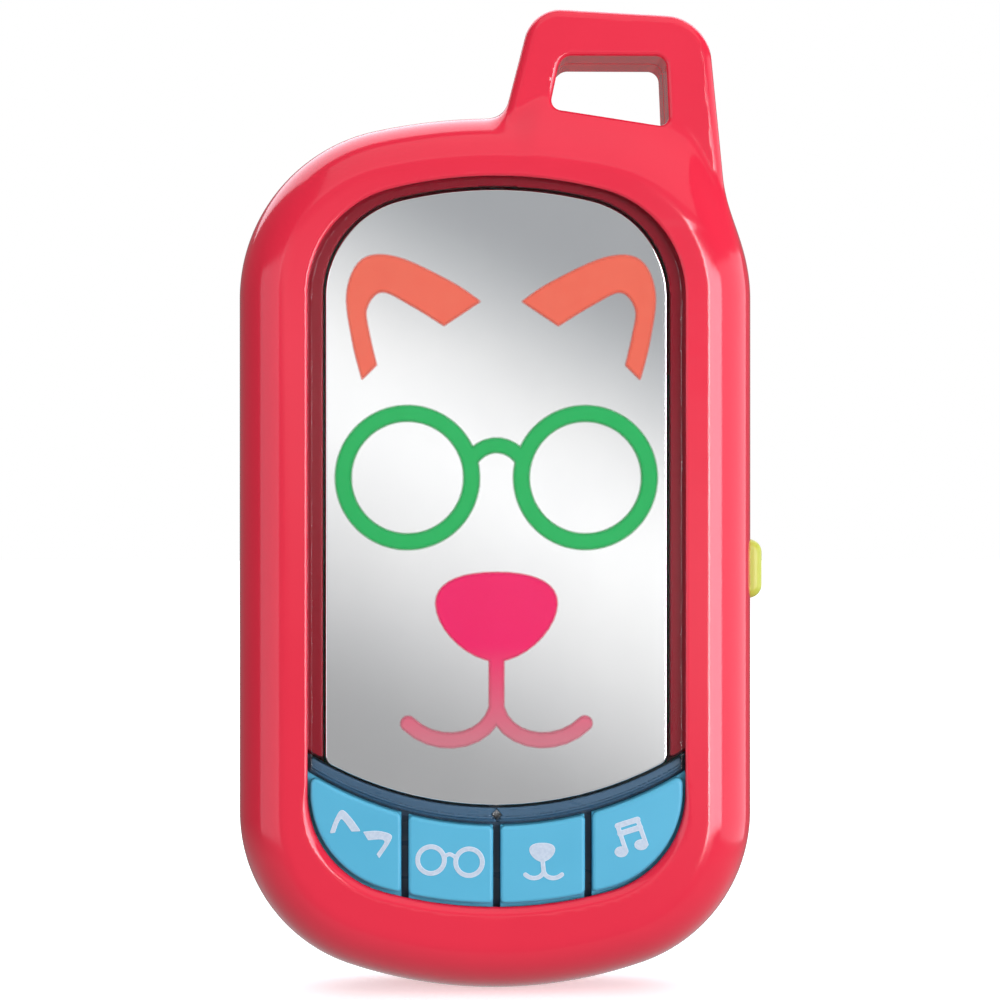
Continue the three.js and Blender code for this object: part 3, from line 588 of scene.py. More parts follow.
def nose_outline(scale=1.0, at=(0, 0)):
    right = [
        *bezier((0, 53.6), (5, 54), (9.7, 59), (9.7, 62.9)),
        *bezier((9.7, 62.9), (9.7, 66.2), (6, 67.8), (0, 67.8))[1:],
    ]
    left = [(-px, pz) for px, pz in right[-2:0:-1]]
    return [(at[0] + scale * px, at[1] + scale * pz) for px, pz in (*right, *left)]


def snout(x, z):
    face = polygon(x, z, nose_outline())
    lines = [[(0, 54.5), (0, 46)], mouth_path(-1), mouth_path(1)]
    return np.minimum(face, np.minimum.reduce([stroke(x, z, line, LINE) for line in lines]))


def ears_picture(x, z):
    left = [(-4.51, 1.02), (-3.7, 3.2), (-2.68, 4.58), (-1.3, 3.4), (0.18, 1.34)]
    left_back = [(-1.09, 1.29), (-2.1, 2.7), (-2.75, 3.29), (-3.3, 2.6), (-3.84, 1.10)]
    right = [(0.81, 1.10), (2.95, 1.23), (5.0, 0.7), (5.0, -0.3), (3.26, -2.95)]
    right_back = [(2.95, -2.41), (4.1, -0.75), (4.05, -0.15), (3.3, 0.02), (1.56, -0.09)]
    shapes = [[*through(left), *through(left_back)], [*through(right), *through(right_back)]]
    return np.minimum.reduce([polygon(x, z, shape) for shape in shapes])


def glasses_picture(x, z):
    rims = [np.abs(disc(x, z, at, 2.13)) - 0.3 for at in ((-3.17, 0.42), (2.90, 0.06))]
    bridge = stroke(x, z, through([(-1.1, 0.95), (-0.15, 1.35), (0.85, 0.75)]), 0.45)
    return np.minimum.reduce([*rims, bridge])


def nose_picture(x, z):
    outline = nose_outline(0.205, (-0.1, -10.85))
    mouth = [mouth_path(side, 0.205, (0.13, -10.9)) for side in (-1, 1)]
    lines = [[(-0.05, 0.4), (0.13, -1.5)], *mouth]
    return np.minimum.reduce([polygon(x, z, outline), *[stroke(x, z, line, 0.55) for line in lines]])


def music_picture(x, z):
    """Two beamed notes that lean to the left."""
    heads = [
        np.hypot(x - MID_X - hx, (z - hz) * 1.25) - 1.0 for hx, hz in ((-2.16, -2.16), (1.02, -1.04))
    ]
    stems = [[(-2.75, 2.0), (-1.35, -2.1)], [(0.45, 3.0), (1.85, -1.0)]]
    beams = [[(-2.75, 2.0), (0.45, 3.0)], [(-2.35, 0.75), (0.85, 1.75)]]
    strokes = [stroke(x, z, line, 0.55) for line in stems]
    bars = [stroke(x, z, line, 0.75) for line in beams]
    return np.minimum.reduce([*heads, *strokes, *bars])


def side_mark(rays, reach):
    """A dot with short rays about it, around (0, 0)."""

    def outline(x, z):
        far = disc(x, z, (0, 0), 0.5)
        for i in range(rays):
            angle = i / rays * math.tau
            ends = [(r * math.cos(angle), r * math.sin(angle)) for r in (1.0, reach)]
            far = np.minimum(far, stroke(x, z, ends, 0.34))
        return far

    return outline


def key_picture(i):
    """The outline of a key's picture, in its place on the key."""
    picture = (ears_picture, glasses_picture, nose_picture, music_picture)[i]
    return lambda x, z: picture(x - KEY_X[i], z - KEY_Z[i])


# ---- meshes

MAX_BEND = math.radians(16)  # how far apart the ends of a triangle's edge may face
SHORT_EDGE = 0.2  # edges below this length stay whole


def settle(field, points, reach):
    """Moves points onto the surface of a field and gives the outward normals there."""
    probe = 0.02
    for _ in range(3):
        value = field(*points.T)
        slope = np.stack(
            [
                field(*(points + step).T) - field(*(points - step).T)
                for step in probe * np.eye(3)
            ],
            axis=1,
        ) / (2 * probe)
        steep = np.maximum((slope**2).sum(1), 0.05)
        move = -slope * (value / steep)[:, None]
        length = np.linalg.norm(move, axis=1, keepdims=True)
        points = points + move * np.minimum(1, reach / np.maximum(length, 1e-9))
    return points, slope / np.maximum(np.linalg.norm(slope, axis=1, keepdims=True), 1e-9)


def split_bends(field, points, normals, triangles, reach):
    """Splits the triangle edges whose ends face too far apart."""
    corners = np.stack([triangles, np.roll(triangles, -1, axis=1)], axis=2)
    edges, where = np.unique(np.sort(corners.reshape(-1, 2), axis=1), axis=0, return_inverse=True)
    first, last = edges.T
    bend = (normals[first] * normals[last]).sum(1) < math.cos(MAX_BEND)
    long = np.linalg.norm(points[first] - points[last], axis=1) > SHORT_EDGE
    split = bend & long
    middle = np.full(len(edges), -1)
    middle[split] = len(points) + np.arange(split.sum())
    fresh = (points[first[split]] + points[last[split]]) / 2
    fresh, facing = settle(field, fresh, reach)
    middles = middle[where.reshape(-1)].reshape(-1, 3)
    count = (middles >= 0).sum(1)
    pieces = [triangles[count == 0]]
    # Turned so that the split edges come first.
    turn = np.where(count == 1, np.argmax(middles >= 0, axis=1), 0)
    turn = np.where(count == 2, (np.argmin(middles >= 0, axis=1) + 1) % 3, turn)
    order = (turn[:, None] + np.arange(3)) % 3
    a, b, c = np.take_along_axis(triangles, order, 1).T
    ab, bc, ca = np.take_along_axis(middles, order, 1).T
    patterns = {
        1: ((a, ab, c), (ab, b, c)),
        2: ((a, ab, c), (ab, b, bc), (ab, bc, c)),
        3: ((a, ab, ca), (ab, b, bc), (ca, bc, c), (ab, bc, ca)),
    }
    for number, pattern in patterns.items():
        pieces += [np.stack(corner, 1)[count == number] for corner in pattern]
    return np.vstack([points, fresh]), np.vstack([normals, facing]), np.vstack(pieces)


def link(name, mesh):
    piece = bpy.data.objects.new(name, mesh)
    bpy.context.scene.collection.objects.link(piece)
    return piece


def moulded(name, field, low, high, step, splits=2):
    """A piece whose surface is where a field is zero, inside a box, from a grid of that step."""
    start = np.array(low, float) - 2 * step
    x, y, z = (np.arange(a, b + 2 * step, step) for a, b in zip(start, high))
    values = field(x[:, None, None], y[None, :, None], z[None, None, :])
    grid = openvdb.FloatGrid()
    shape = (len(x), len(y), len(z))
    grid.copyFromArray(np.ascontiguousarray(np.broadcast_to(values, shape), np.float32))
    points, quads = grid.convertToQuads()
    points = start + step * points.astype(float)
    points, normals = settle(field, points, step / 2)
    triangles = np.vstack([quads[:, [0, 1, 2]], quads[:, [0, 2, 3]]]).astype(np.int64)
    for _ in range(splits):
        points, normals, triangles = split_bends(field, points, normals, triangles, step / 2)
    mesh = bpy.data.meshes.new(name)
    mesh.from_pydata((points * MM).tolist(), [], triangles.tolist())
    mesh.validate()
    mesh.shade_smooth()
    mesh.normals_split_custom_set_from_vertices(normals)
    return link(name, mesh)


def weigh(piece, name, weight):
    """Gives a piece an attribute, from a function of x, y and z in millimetres."""
    points = np.empty(3 * len(piece.data.vertices))
    piece.data.vertices.foreach_get("co", points)
    values = weight(*points.reshape(-1, 3).T / MM)
    piece.data.attributes.new(name, "FLOAT", "POINT").data.foreach_set("value", values)


def lit_shape(name, outline, low, high, depths, step, feather):
    """A flat piece of an outline whose attribute "cover" runs from 0 at its rim to 1 within."""
    front, back = depths

    def field(x, y, z):
        return trim(outline(x, z) - feather / 2, between(y, front, back), min(0.1, (back - front) / 3))

    box = ((low[0], front, low[1]), (high[0], back, high[1]))
    piece = moulded(name, field, *box, step, splits=1)
    weigh(piece, "cover", lambda x, y, z: ramp(-outline(x, z), -feather / 2, feather / 2))
    return piece


def printed(name, outline, low, high, y):
    """A picture a tenth of a millimetre thick: a thicker one, flattened onto the surface at y."""
    half, thin = 0.3, 0.05
    picture = lit_shape(name, outline, low, high, (y - half, y + half), 0.14, 0.16)
    flatten = Matrix.Diagonal((1, thin / half, 1, 1))
    at = Matrix.Translation((0, y * MM, 0))
    picture.data.transform(at @ flatten @ at.inverted())
    return picture


def arced_points(shape, inset=0.0, steps=20):
    """Points around an arced outline, anticlockwise from its lower left corner."""
    points = []
    for up, (end, arc, corner) in ((-1, shape.bottom), (1, shape.top)):
        reach = shape.half - corner
        rise = math.sqrt((arc - corner) ** 2 - reach**2)
        lean = math.atan2(rise, reach)
        # The end as it lies at the top: its right corner, its large arc and its left corner.
        arcs = (
            (reach, rise, corner, 0, lean),
            (0, 0, arc, lean, math.pi - lean),
            (-reach, rise, corner, math.pi - lean, math.pi),
        )
        for number, (x, z, radius, start, finish) in enumerate(arcs):
            angles = np.linspace(start, finish, steps)
            for angle in angles if number == 2 else angles[:-1]:
                px = x + (radius - inset) * math.cos(angle)
                pz = z + (radius - inset) * math.sin(angle)
                points.append((MID_X + up * px, end - up * arc + up * pz))
    return points


def meshed(name, vertices, faces, sharp=30):
    mesh = bpy.data.meshes.new(name)
    mesh.from_pydata([tuple(c * MM for c in v) for v in vertices], [], faces)
    mesh.shade_smooth()
    mesh.set_sharp_from_angle(angle=math.radians(sharp))
    return link(name, mesh)


def banded(count, rings):
    """Faces between rings of vertices, with a cap over the first and the last."""
    faces = []
    for start in range(0, (rings - 1) * count, count):
        for i in range(count):
            j = (i + 1) % count
            faces.append((start + i, start + j, start + count + j, start + count + i))
    last = (rings - 1) * count
    return [*faces, tuple(range(count))[::-1], tuple(range(last, last + count))]


def panel(name, shape, depths, edge, steps=20):
    """A flat panel of an arced outline with rounded front and back rims."""
    front, back = depths
    turns = [(1 - math.sin(a)) * edge for a in np.linspace(0, math.pi / 2, 5)]
    # The first and last rings keep the flat faces' normals apart from the rims'.
    rings = [(edge + 0.05, back), *((inset, back - drop) for inset, drop in zip(turns, turns[::-1]))]
    rings += [(inset, front + drop) for inset, drop in zip(turns[::-1], turns)]
    rings.append((edge + 0.05, front))
    vertices = [(x, y, z) for inset, y in rings for x, z in arced_points(shape, inset, steps)]
    return meshed(name, vertices, banded(len(vertices) // len(rings), len(rings)))


def turned(name, profile, at, axis, sides=48):
    """A profile of (radius, distance) points turned about the Y or Z axis through a point."""
    vertices = []
    for radius, distance in profile:
        for angle in np.linspace(0, math.tau, sides, endpoint=False):
            a, b = radius * math.cos(angle), radius * math.sin(angle)
            out = (a, distance, -b) if axis == "y" else (a, b, distance)
            vertices.append([o + c for o, c in zip(at, out)])
    return meshed(name, vertices, banded(sides, len(profile)))


def wire(name, path, radius):
    """A round wire along a path, as a mesh."""
    line = np.array(path, float)
    along = np.gradient(line, axis=0)
    along /= np.linalg.norm(along, axis=1, keepdims=True)
    side = np.cross(along, (0, 0, 1.0))
    side /= np.linalg.norm(side, axis=1, keepdims=True)
    up = np.cross(side, along)
    sides = 10
    vertices = [
        p + radius * (math.cos(a) * s + math.sin(a) * u)
        for p, s, u in zip(line, side, up)
        for a in np.linspace(0, math.tau, sides, endpoint=False)
    ]
    return meshed(name, vertices, banded(sides, len(line)), 60)


# ---- materials

def srgb(code):
    """A hex colour as the linear colour that shaders take."""
    parts = (int(code[i : i + 2], 16) / 255 for i in (0, 2, 4))
    linear = (c / 12.92 if c <= 0.04045 else ((c + 0.055) / 1.055) ** 2.4 for c in parts)
    return (*linear, 1.0)


class Nodes:
    """A node tree, whose sockets are fed with values or with other sockets."""

    def __init__(self, tree):
        self.tree = tree

    def node(self, kind, inputs=None, **settings):
        made = self.tree.nodes.new(kind)
        for key, value in settings.items():
            setattr(made, key, value)
        for key, value in (inputs or {}).items():
            self.feed(made.inputs[key], value)
        return made

    def feed(self, socket, value):
        if isinstance(value, bpy.types.NodeSocket):
            self.tree.links.new(value, socket)
        else:
            socket.default_value = value

    def between(self, value, low, high, start=0.3, end=0.7):
        inputs = {"Value": value, "From Min": start, "From Max": end, "To Min": low, "To Max": high}
        return self.node("ShaderNodeMapRange", inputs).outputs[0]


class Finish(Nodes):
    """A material whose noise patterns lie in each piece's own coordinates and move with it."""

    def __init__(self, name):
        self.material = bpy.data.materials.new(name)
        self.material.use_nodes = True
        super().__init__(self.material.node_tree)
        self.shader = self.tree.nodes["Principled BSDF"]
        self.place = self.node("ShaderNodeTexCoord").outputs["Object"]

    def set(self, **sockets):
        for key, value in sockets.items():
            self.feed(self.shader.inputs[key.replace("_", " ")], value)

    def stretched(self, scale):
        return self.node("ShaderNodeMapping", {"Vector": self.place, "Scale": scale}).outputs[0]

    def noise(self, size, detail=2.0, place=None):
        """Noise whose blobs are about that many millimetres across."""
        inputs = {"Vector": place or self.place, "Scale": 1 / (size * MM), "Detail": detail}
        return self.node("ShaderNodeTexNoise", inputs).outputs[0]

    def blend(self, share, first, second):
        mix = self.node("ShaderNodeMix", data_type="RGBA")
        self.feed(mix.inputs[0], share)
        self.feed(mix.inputs[6], first)
        self.feed(mix.inputs[7], second)
        return mix.outputs[2]

    def height(self, axis, low, high):
        """Runs from 0 to 1 between two heights in millimetres."""
        parts = self.node("ShaderNodeSeparateXYZ", {"Vector": self.place})
        return self.between(parts.outputs[axis], 0, 1, low * MM, high * MM)

    def bump(self, pattern, depth):
        """Roughens the surface by a depth in micrometres."""
        inputs = {"Height": pattern, "Distance": depth * 1e-6, "Strength": 1.0}
        made = self.node("ShaderNodeBump", inputs)
        self.feed(self.shader.inputs["Normal"], made.outputs[0])

    def surface(self, shader):
        """Puts another shader in the place of the standard one."""
        self.feed(self.tree.nodes["Material Output"].inputs[0], shader)
        self.tree.nodes.remove(self.shader)


def plastic(name, colour, shade, roughness=(0.2, 0.3), grain=(0.5, 4), **sockets):
    """Moulded plastic: a faint cloudiness, uneven gloss, and a fine grain."""
    made = Finish(name)
    cloud = made.between(made.noise(22, 3), 0, 1)
    scuffs = made.noise(9, 4, made.stretched((1, 1, 4)))
    made.set(Base_Color=made.blend(cloud, srgb(colour), srgb(shade)))
    made.set(Roughness=made.between(scuffs, *roughness), **sockets)
    made.bump(made.noise(grain[0], 2), grain[1])
    return made.material


def case_plastic():
    """The case's glossy red, with painted shade on the walls of its opening behind the window, where it
    is deep and duller.
    """
    made = Finish("case_red")
    painted_recess_shade = made.node("ShaderNodeAttribute", attribute_name="painted_recess_shade").outputs["Fac"]
    red = made.blend(made.between(made.noise(22, 3), 0, 1), srgb("ec2a45"), srgb("e82742"))
    scuffs = made.noise(9, 4, made.stretched((1, 1, 4)))
    # Painted shade: on the walls of the opening the red turns deep (981a2b) and its gloss is lowered.
    made.set(Base_Color=made.blend(painted_recess_shade, red, srgb("981a2b")), IOR=1.5)
    made.set(Specular_IOR_Level=made.between(painted_recess_shade, 0.5, 0.12, 0, 1))
    made.set(Roughness=made.between(scuffs, 0.11, 0.15))
    made.bump(made.noise(0.6, 2), 1.0)
    return made.material


def metal(name, colour, shade, roughness=(0.2, 0.4), stretch=(1, 1, 8)):
    """Drawn or plated metal with fine lines along it."""
    made = Finish(name)
    lines = made.noise(0.6, 3, made.stretched(stretch))
    made.set(Base_Color=made.blend(lines, srgb(colour), srgb(shade)), Metallic=1.0)
    made.set(Roughness=made.between(lines, *roughness))
    made.bump(lines, 3)
    return made.material


def mirror():
    """Silvered plastic film: nearly clean, with a faint haze."""
    made = Finish("mirror_film")
    haze = made.noise(14, 4)
    made.set(Base_Color=made.blend(haze, srgb("fbfbfb"), srgb("f3f4f5")), Metallic=1.0)
    made.set(Roughness=made.between(haze, 0.015, 0.05))
    made.bump(made.noise(3, 1), 0.15)
    return made.material


def smoke_lens():
    """Clear plastic, slightly smoky, which lets light straight through its thin wall."""
    made = Finish("lens_smoke")
    smears = made.noise(12, 4, made.stretched((1, 1, 0.4)))
    tint = made.blend(smears, srgb("fdfdfd"), srgb("fbfbfb"))
    clear = made.node("ShaderNodeBsdfTransparent", {"Color": tint})
    gloss = made.node("ShaderNodeBsdfGlossy", {"Roughness": made.between(smears, 0.01, 0.05)})
    facing = made.node("ShaderNodeLayerWeight", {"Blend": 0.5}).outputs["Facing"]
    grazing = made.node("ShaderNodeMath", {0: facing, 1: 5.0}, operation="POWER").outputs[0]
    share = made.between(grazing, 0.012, 0.9, 0, 1)
    layers = {0: share, 1: clear.outputs[0], 2: gloss.outputs[0]}
    made.surface(made.node("ShaderNodeMixShader", layers).outputs[0])
    return made.material


def lit(name, colour, glow, low=None, fade=None):
    """A lit shape behind the mirror: soft rims, an even glow and a slight mottle.

    Below a height it may fade to another colour: low is (start, end) in millimetres.
    """
    made = Finish(name)
    cover = made.node("ShaderNodeAttribute", attribute_name="cover").outputs["Fac"]
    mottle = made.noise(2.5, 3)
    shown = made.blend(mottle, srgb(colour), srgb(glow))
    if low:
        shown = made.blend(made.height("Z", *low), srgb(fade), shown)
    made.set(Base_Color=shown, Emission_Color=shown, Emission_Strength=0.36, Roughness=0.6)
    made.set(Specular_IOR_Level=0.1, Alpha=cover)
    made.bump(mottle, 1)
    return made.material


def print_ink(name, colour, rim):
    """A printed picture, whiter along its rims where the ink has gathered."""
    made = Finish(name)
    cover = made.node("ShaderNodeAttribute", attribute_name="cover").outputs["Fac"]
    speck = made.noise(0.4, 3)
    inside = made.blend(made.between(speck, 0, 0.5), srgb(colour), srgb(rim))
    made.set(Base_Color=made.blend(cover, srgb(rim), inside))
    made.set(Roughness=made.between(speck, 0.4, 0.6))
    made.bump(speck, 3)
    return made.material


def circuit_board():
    """Green solder mask over copper tracks."""
    made = Finish("board_green")
    swap = made.node("ShaderNodeMapping", {"Vector": made.place, "Rotation": (math.pi / 2, 0, 0)})
    sizes = {"Vector": swap.outputs[0], "Scale": 260.0, "Mortar Size": 0.02, "Row Height": 0.3}
    tracks = made.node("ShaderNodeTexBrick", sizes).outputs["Fac"]
    mask = made.blend(made.noise(6, 3), srgb("1d6a39"), srgb("17592f"))
    made.set(Base_Color=made.blend(tracks, mask, srgb("2f8f50")))
    made.set(Roughness=made.between(tracks, 0.3, 0.4))
    made.bump(tracks, 20)
    return made.material


def cell_wrap():
    """A battery's printed sleeve: dark below and copper above."""
    made = Finish("cell_wrap")
    ring_z = span("battery_cell_1", "z")[1] - 15
    band = made.height("Z", ring_z, ring_z + 0.1)
    sleeve = made.blend(made.noise(5, 2), srgb("24272d"), srgb("2d3138"))
    copper = made.blend(made.noise(5, 2), srgb("b9743a"), srgb("a9672f"))
    made.set(Base_Color=made.blend(band, sleeve, copper), Metallic=0.35)
    made.set(Roughness=made.between(made.noise(1.2, 3), 0.22, 0.36))
    made.bump(made.noise(1.2, 3), 4)
    return made.material


finishes = {
    "case_red": case_plastic(),
    "lens_smoke": smoke_lens(),
    "mirror_film": mirror(),
    "ear_coral": lit("ear_coral", "d65f4b", "da6853"),
    "glasses_green": lit("glasses_green", "1aa150", "22a558"),
    "nose_pink": lit("nose_pink", "d9175a", "db1f60", (41, 56), "be6e7b"),
    "light_box_white": plastic("light_box_white", "f2f2ee", "e9e9e4", (0.4, 0.55)),
    "led_clear": plastic("led_clear", "fff4c9", "f6e9b6", (0.1, 0.2), Transmission_Weight=0.5),
    "key_blue": plastic("key_blue", "55b6d6", "4fb0d1", (0.34, 0.44), (0.35, 5), IOR=1.47),
    "strip_blue": plastic("strip_blue", "3d6480", "375c77", (0.25, 0.35), (0.4, 4)),
    "keypad_rubber": plastic("keypad_rubber", "9aa3a8", "8d969c", (0.7, 0.85), (0.2, 12)),
    "switch_yellow": plastic("switch_yellow", "c8d450", "c1ce48", (0.3, 0.4), (0.4, 4)),
    "steel": metal("steel", "c9cbce", "a9acb0"),
    "board_green": circuit_board(),
    "epoxy_black": plastic("epoxy_black", "111214", "1a1b1e", (0.2, 0.35), (1.2, 20)),
    "capacitor_sleeve": plastic("capacitor_sleeve", "2a2d55", "23264a", (0.3, 0.4)),
    "cone_paper": plastic("cone_paper", "26262a", "323236", (0.8, 0.95), (0.15, 30)),
    "magnet_ferrite": plastic("magnet_ferrite", "4b4e52", "3c3f43", (0.5, 0.7), (0.2, 10), Metallic=0.4),
    "wire_red": plastic("wire_red", "c02020", "a81a1a", (0.4, 0.5)),
    "wire_black": plastic("wire_black", "202020", "2a2a2a", (0.4, 0.5)),
    "cell_wrap": cell_wrap(),
}
key_ink = print_ink("key_ink", "b9cbdc", "dbe6ef")
mark_ink = print_ink("mark_ink", "f0e4e6", "fbf5f6")

slot_of_node = {part["node"]: part["material_slot"] for part in frame["record"]["subparts"]}
for node, holder in frame["nodes"].items():
    finish = finishes[slot_of_node[node]]
    if holder.material_slots:
        holder.material_slots[0].material = finish
    else:
        holder.data.materials.append(finish)


def add(piece, body, slot, finish=None):
    """Puts a piece on a body, with the finish of its slot or one of its own."""
    piece.data.materials.append(finish or finishes[slot])
    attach(piece, body)


def fit(piece, node, body="case"):
    """Puts a piece in the place of a CAD node."""
    add(piece, body, slot_of_node[node])
    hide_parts(node)
    return piece


# ---- pieces

DETAIL = 1.0


def mould(name, field, node, step, splits=2, body="case"):
    """A moulded piece in place of a CAD node."""
    return fit(moulded(name, field, *node_box(node), step * DETAIL, splits), node, body)


def painted_shade_mask(x, y, z):
    """Where shade is painted on the case: 1 on the walls of the case's opening, and 0 elsewhere."""
    return ramp(-arced(x, z, OPENING), -0.3, -0.05) * ramp(y, *PAINTED_SHADE_Y)


def key(i, node):
    """A key cap and the picture printed on it."""
    mould(f"{node}_cap", key_cap(i), node, 0.3, 2, node)
    x_mid, z_mid = MID_X + KEY_X[i], KEY_Z[i]
    side, down, up = PICTURE_ROOM
    low, high = (x_mid - side, z_mid - down), (x_mid + side, z_mid + up)
    picture = printed(f"{node}_picture", key_picture(i), low, high, span(node, "y")[0])
    add(picture, node, "key_blue", key_ink)


def lit_part(node, outline):
    """A coloured shape of the face, in its CAD node's box, grown so that the soft rim fits in."""
    room = 0.5
    (x0, y0, z0), (x1, y1, z1) = node_box(node, room)
    depths = (y0 + room, y1 - room)
    name = node.replace("filter", "light")
    fit(lit_shape(name, outline, (x0, z0), (x1, z1), depths, 0.3, 0.7), node)


def cell(number, flip):
    """A dry cell, from its flat end to its nub; a flipped one stands on its nub."""
    node = f"battery_cell_{number}"
    (x0, y0, z0), (x1, y1, z1) = node_box(node)
    radius, length = (x1 - x0) / 2, z1 - z0
    nub, nub_foot, nub_top = CELL_NUB
    neck = length - nub
    profile = [
        (0.01, 0), (radius - 0.9, 0), (radius - 0.5, 0.15), (radius, 0.6),
        (radius, neck - 0.7), (radius - 0.35, neck - 0.15), (radius - 0.8, neck),
        (nub_foot, neck), (2.0, length - 0.3), (nub_top, length), (0.01, length),
    ]
    if flip:
        profile = [(r, length - d) for r, d in profile[::-1]]
    fit(turned(f"cell_{number}", profile, ((x0 + x1) / 2, (y0 + y1) / 2, z0), "z"), node)


def spring(number, flip):
    """A coil that narrows towards its cell: upwards, or downwards on to a flipped one."""
    node = f"battery_spring_{number}"
    (x0, y0, z0), (x1, y1, z1) = node_box(node)
    wide, narrow = SPRING_REACH
    path = []
    for t in np.linspace(0, 1, 90):
        reach = wide + (narrow - wide) * (1 - t if flip else t)
        angle = t * SPRING_TURNS * math.tau
        px = (x0 + x1) / 2 + reach * math.cos(angle)
        py = (y0 + y1) / 2 + reach * math.sin(angle)
        path.append((px, py, z0 + SPRING_WIRE + t * (z1 - z0 - 2 * SPRING_WIRE)))
    fit(wire(f"spring_{number}", path, SPRING_WIRE), node)


def key_dome(i):
    """A rubber dome under a key's plunger."""
    wide, narrow, height = DOME
    foot = PAD_Y[0]
    top = foot - height
    profile = [
        (0.01, foot + 0.2), (wide + 0.3, foot + 0.2), (wide + 0.3, foot), (wide - 0.2, foot - 0.1),
        (narrow, top + 0.25), (narrow - 0.5, top), (0.01, top),
    ]
    dome = turned(f"dome_{i + 1}", profile, (MID_X + KEY_X[i], 0, KEY_Z[i]), "y")
    add(dome, "case", "keypad_rubber")
    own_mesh(dome)


def volume_mark(name, outline):
    """A mark printed on the side wall, beside the knob."""
    low, high = (MID_X - MARK_ROOM, -MARK_ROOM), (MID_X + MARK_ROOM, MARK_ROOM)
    mark = printed(name, outline, low, high, 0)
    at = Matrix.Translation(Vector((MID_X + CASE.half, 0, MARK_Z[name])) * MM)
    turn = Matrix.Rotation(math.pi / 2, 4, "Z")
    mark.data.transform(at @ turn @ Matrix.Translation((-MID_X * MM, 0, 0)))
    add(mark, "case", "case_red", mark_ink)


# The front case gets the mask of painted shade on the walls of its opening.
weigh(mould("front_case", front_shell, "front_housing", 0.7), "painted_recess_shade", painted_shade_mask)
mould("rear_case", rear_shell, "rear_housing", 0.96)
mould("battery_cover", battery_door, "battery_door", 0.5, 1, "battery_door")
mould("key_guide", key_frame, "key_frame", 0.4, 1)
mould("slide_switch", switch_knob, "switch_knob", 0.3, 1, "switch_knob")
for i, node in enumerate(KEY_NODES):
    key(i, node)

fit(panel("window", LENS, LENS_Y, 0.35), "window_lens")
fit(panel("mirror", MIRROR, MIRROR_Y, 0.3), "mirror_panel")
lit_part("left_ear_filter", ear(-1))
lit_part("right_ear_filter", ear(1))
lit_part("glasses_filter", glasses)
lit_part("nose_filter", snout)

for number in (1, 2, 3, 4):
    node = f"case_screw_{number}"
    mould(f"{node}_fine", screw(node, 1.6), node, 0.22, 1)
cover_screw = screw("battery_door_screw", 0.75)
mould("cover_screw", cover_screw, "battery_door_screw", 0.22, 1, "battery_door")

for number in (1, 2, 3):
    cell(number, flip=number == 2)
    spring(number, flip=number == 2)

mould("keypad_pad", keypad_sheet, "rubber_keypad", 0.4, 1)
for i, node in enumerate(KEY_NODES):
    key_dome(i)

volume_mark("quiet_mark", side_mark(0, 0))
volume_mark("loud_mark", side_mark(8, 1.8))


# ---- stage, in metres

CAMERA_AT = Vector((-10.4, -430, 79.5)) * MM
CAMERA_AIM = Vector((-0.2, 0, 79.5)) * MM
CAMERA_LENS = 94.1
PHONE_MIDDLE = (cad_low + cad_high) / 2
LIGHT_DISTANCE = 1.0
COOL = (0.95, 0.9, 1.0)

FLOOR_HALF = 3
FLOOR_GLOW = (0.5, 1.0)  # the floor's own glow by the phone and far from it
FLOOR_FADE = (0.12, 0.5)  # distances from the phone between which it grows

WORLD_LIGHT = 0.3
WORLD_MIRRORED = (0.65, 0.2)  # strength in reflections, below and from the horizon up
WORLD_FADE = (-0.4, -0.15)  # upward parts of the directions between which it changes

CARD_Y = -1.25
CARD_MIDDLE_Z = 0.08
CARD_HALF = 0.8
CARD_LEAN = 0.51
CARD_GLOW = 1.2
# Tones of the card that the mirror shows, by height where it crosses the mirror's middle line.
CARD_TONES = (
    (26, "a4a4a5"), (36, "a9a9aa"), (44, "bcbcbd"), (52, "d0d0d1"), (62, "e6e6e6"), (74, "fafafa"),
    (82, "ffffff"), (90, "fafafa"), (98, "eeeeee"), (106, "d5d6d7"), (113, "bfc1c3"), (120, "a7a9ac"),
    (126, "a3a5a8"),
)


def aim(holder, at, target):
    holder.location = at
    holder.rotation_mode = "QUATERNION"
    holder.rotation_quaternion = (Vector(target) - Vector(at)).to_track_quat("-Z", "Y")


def softbox(name, azimuth, elevation, size, glow, colour=(1, 1, 1)):
    """An area light that faces the phone from an azimuth right of the camera; glow is its radiance."""
    data = bpy.data.lights.new(name, "AREA")
    data.shape = "RECTANGLE"
    data.size, data.size_y = size
    data.energy = glow * math.pi * size[0] * size[1]
    data.color = colour
    lamp = bpy.data.objects.new(name, data)
    bpy.context.scene.collection.objects.link(lamp)
    a, e = math.radians(azimuth), math.radians(elevation)
    out = Vector((math.sin(a) * math.cos(e), -math.cos(a) * math.cos(e), math.sin(e)))
    aim(lamp, PHONE_MIDDLE + LIGHT_DISTANCE * out, PHONE_MIDDLE)


def sheet(name, corners):
    """A flat surface with four corners."""
    mesh = bpy.data.meshes.new(name)
    mesh.from_pydata(corners, [], [(0, 1, 2, 3)])
    return link(name, mesh)


def pale_floor():
    """A pale floor that is lost in the white round it: away from the phone it glows by itself."""
    half = FLOOR_HALF
    floor = sheet("floor", [(-half, -half, 0), (half, -half, 0), (half, half, 0), (-half, half, 0)])
    paint = Finish("pale_paper")
    paper = paint.blend(paint.noise(60, 2), srgb("fcfcfc"), srgb("f8f8f8"))
    away = paint.node("ShaderNodeVectorMath", {0: paint.place}, operation="LENGTH").outputs["Value"]
    paint.set(Base_Color=paper, Roughness=0.9, Emission_Color=(1, 1, 1, 1))
    paint.set(Emission_Strength=paint.between(away, *FLOOR_GLOW, *FLOOR_FADE))
    floor.data.materials.append(paint.material)
    floor.visible_glossy = False
    floor.visible_diffuse = False


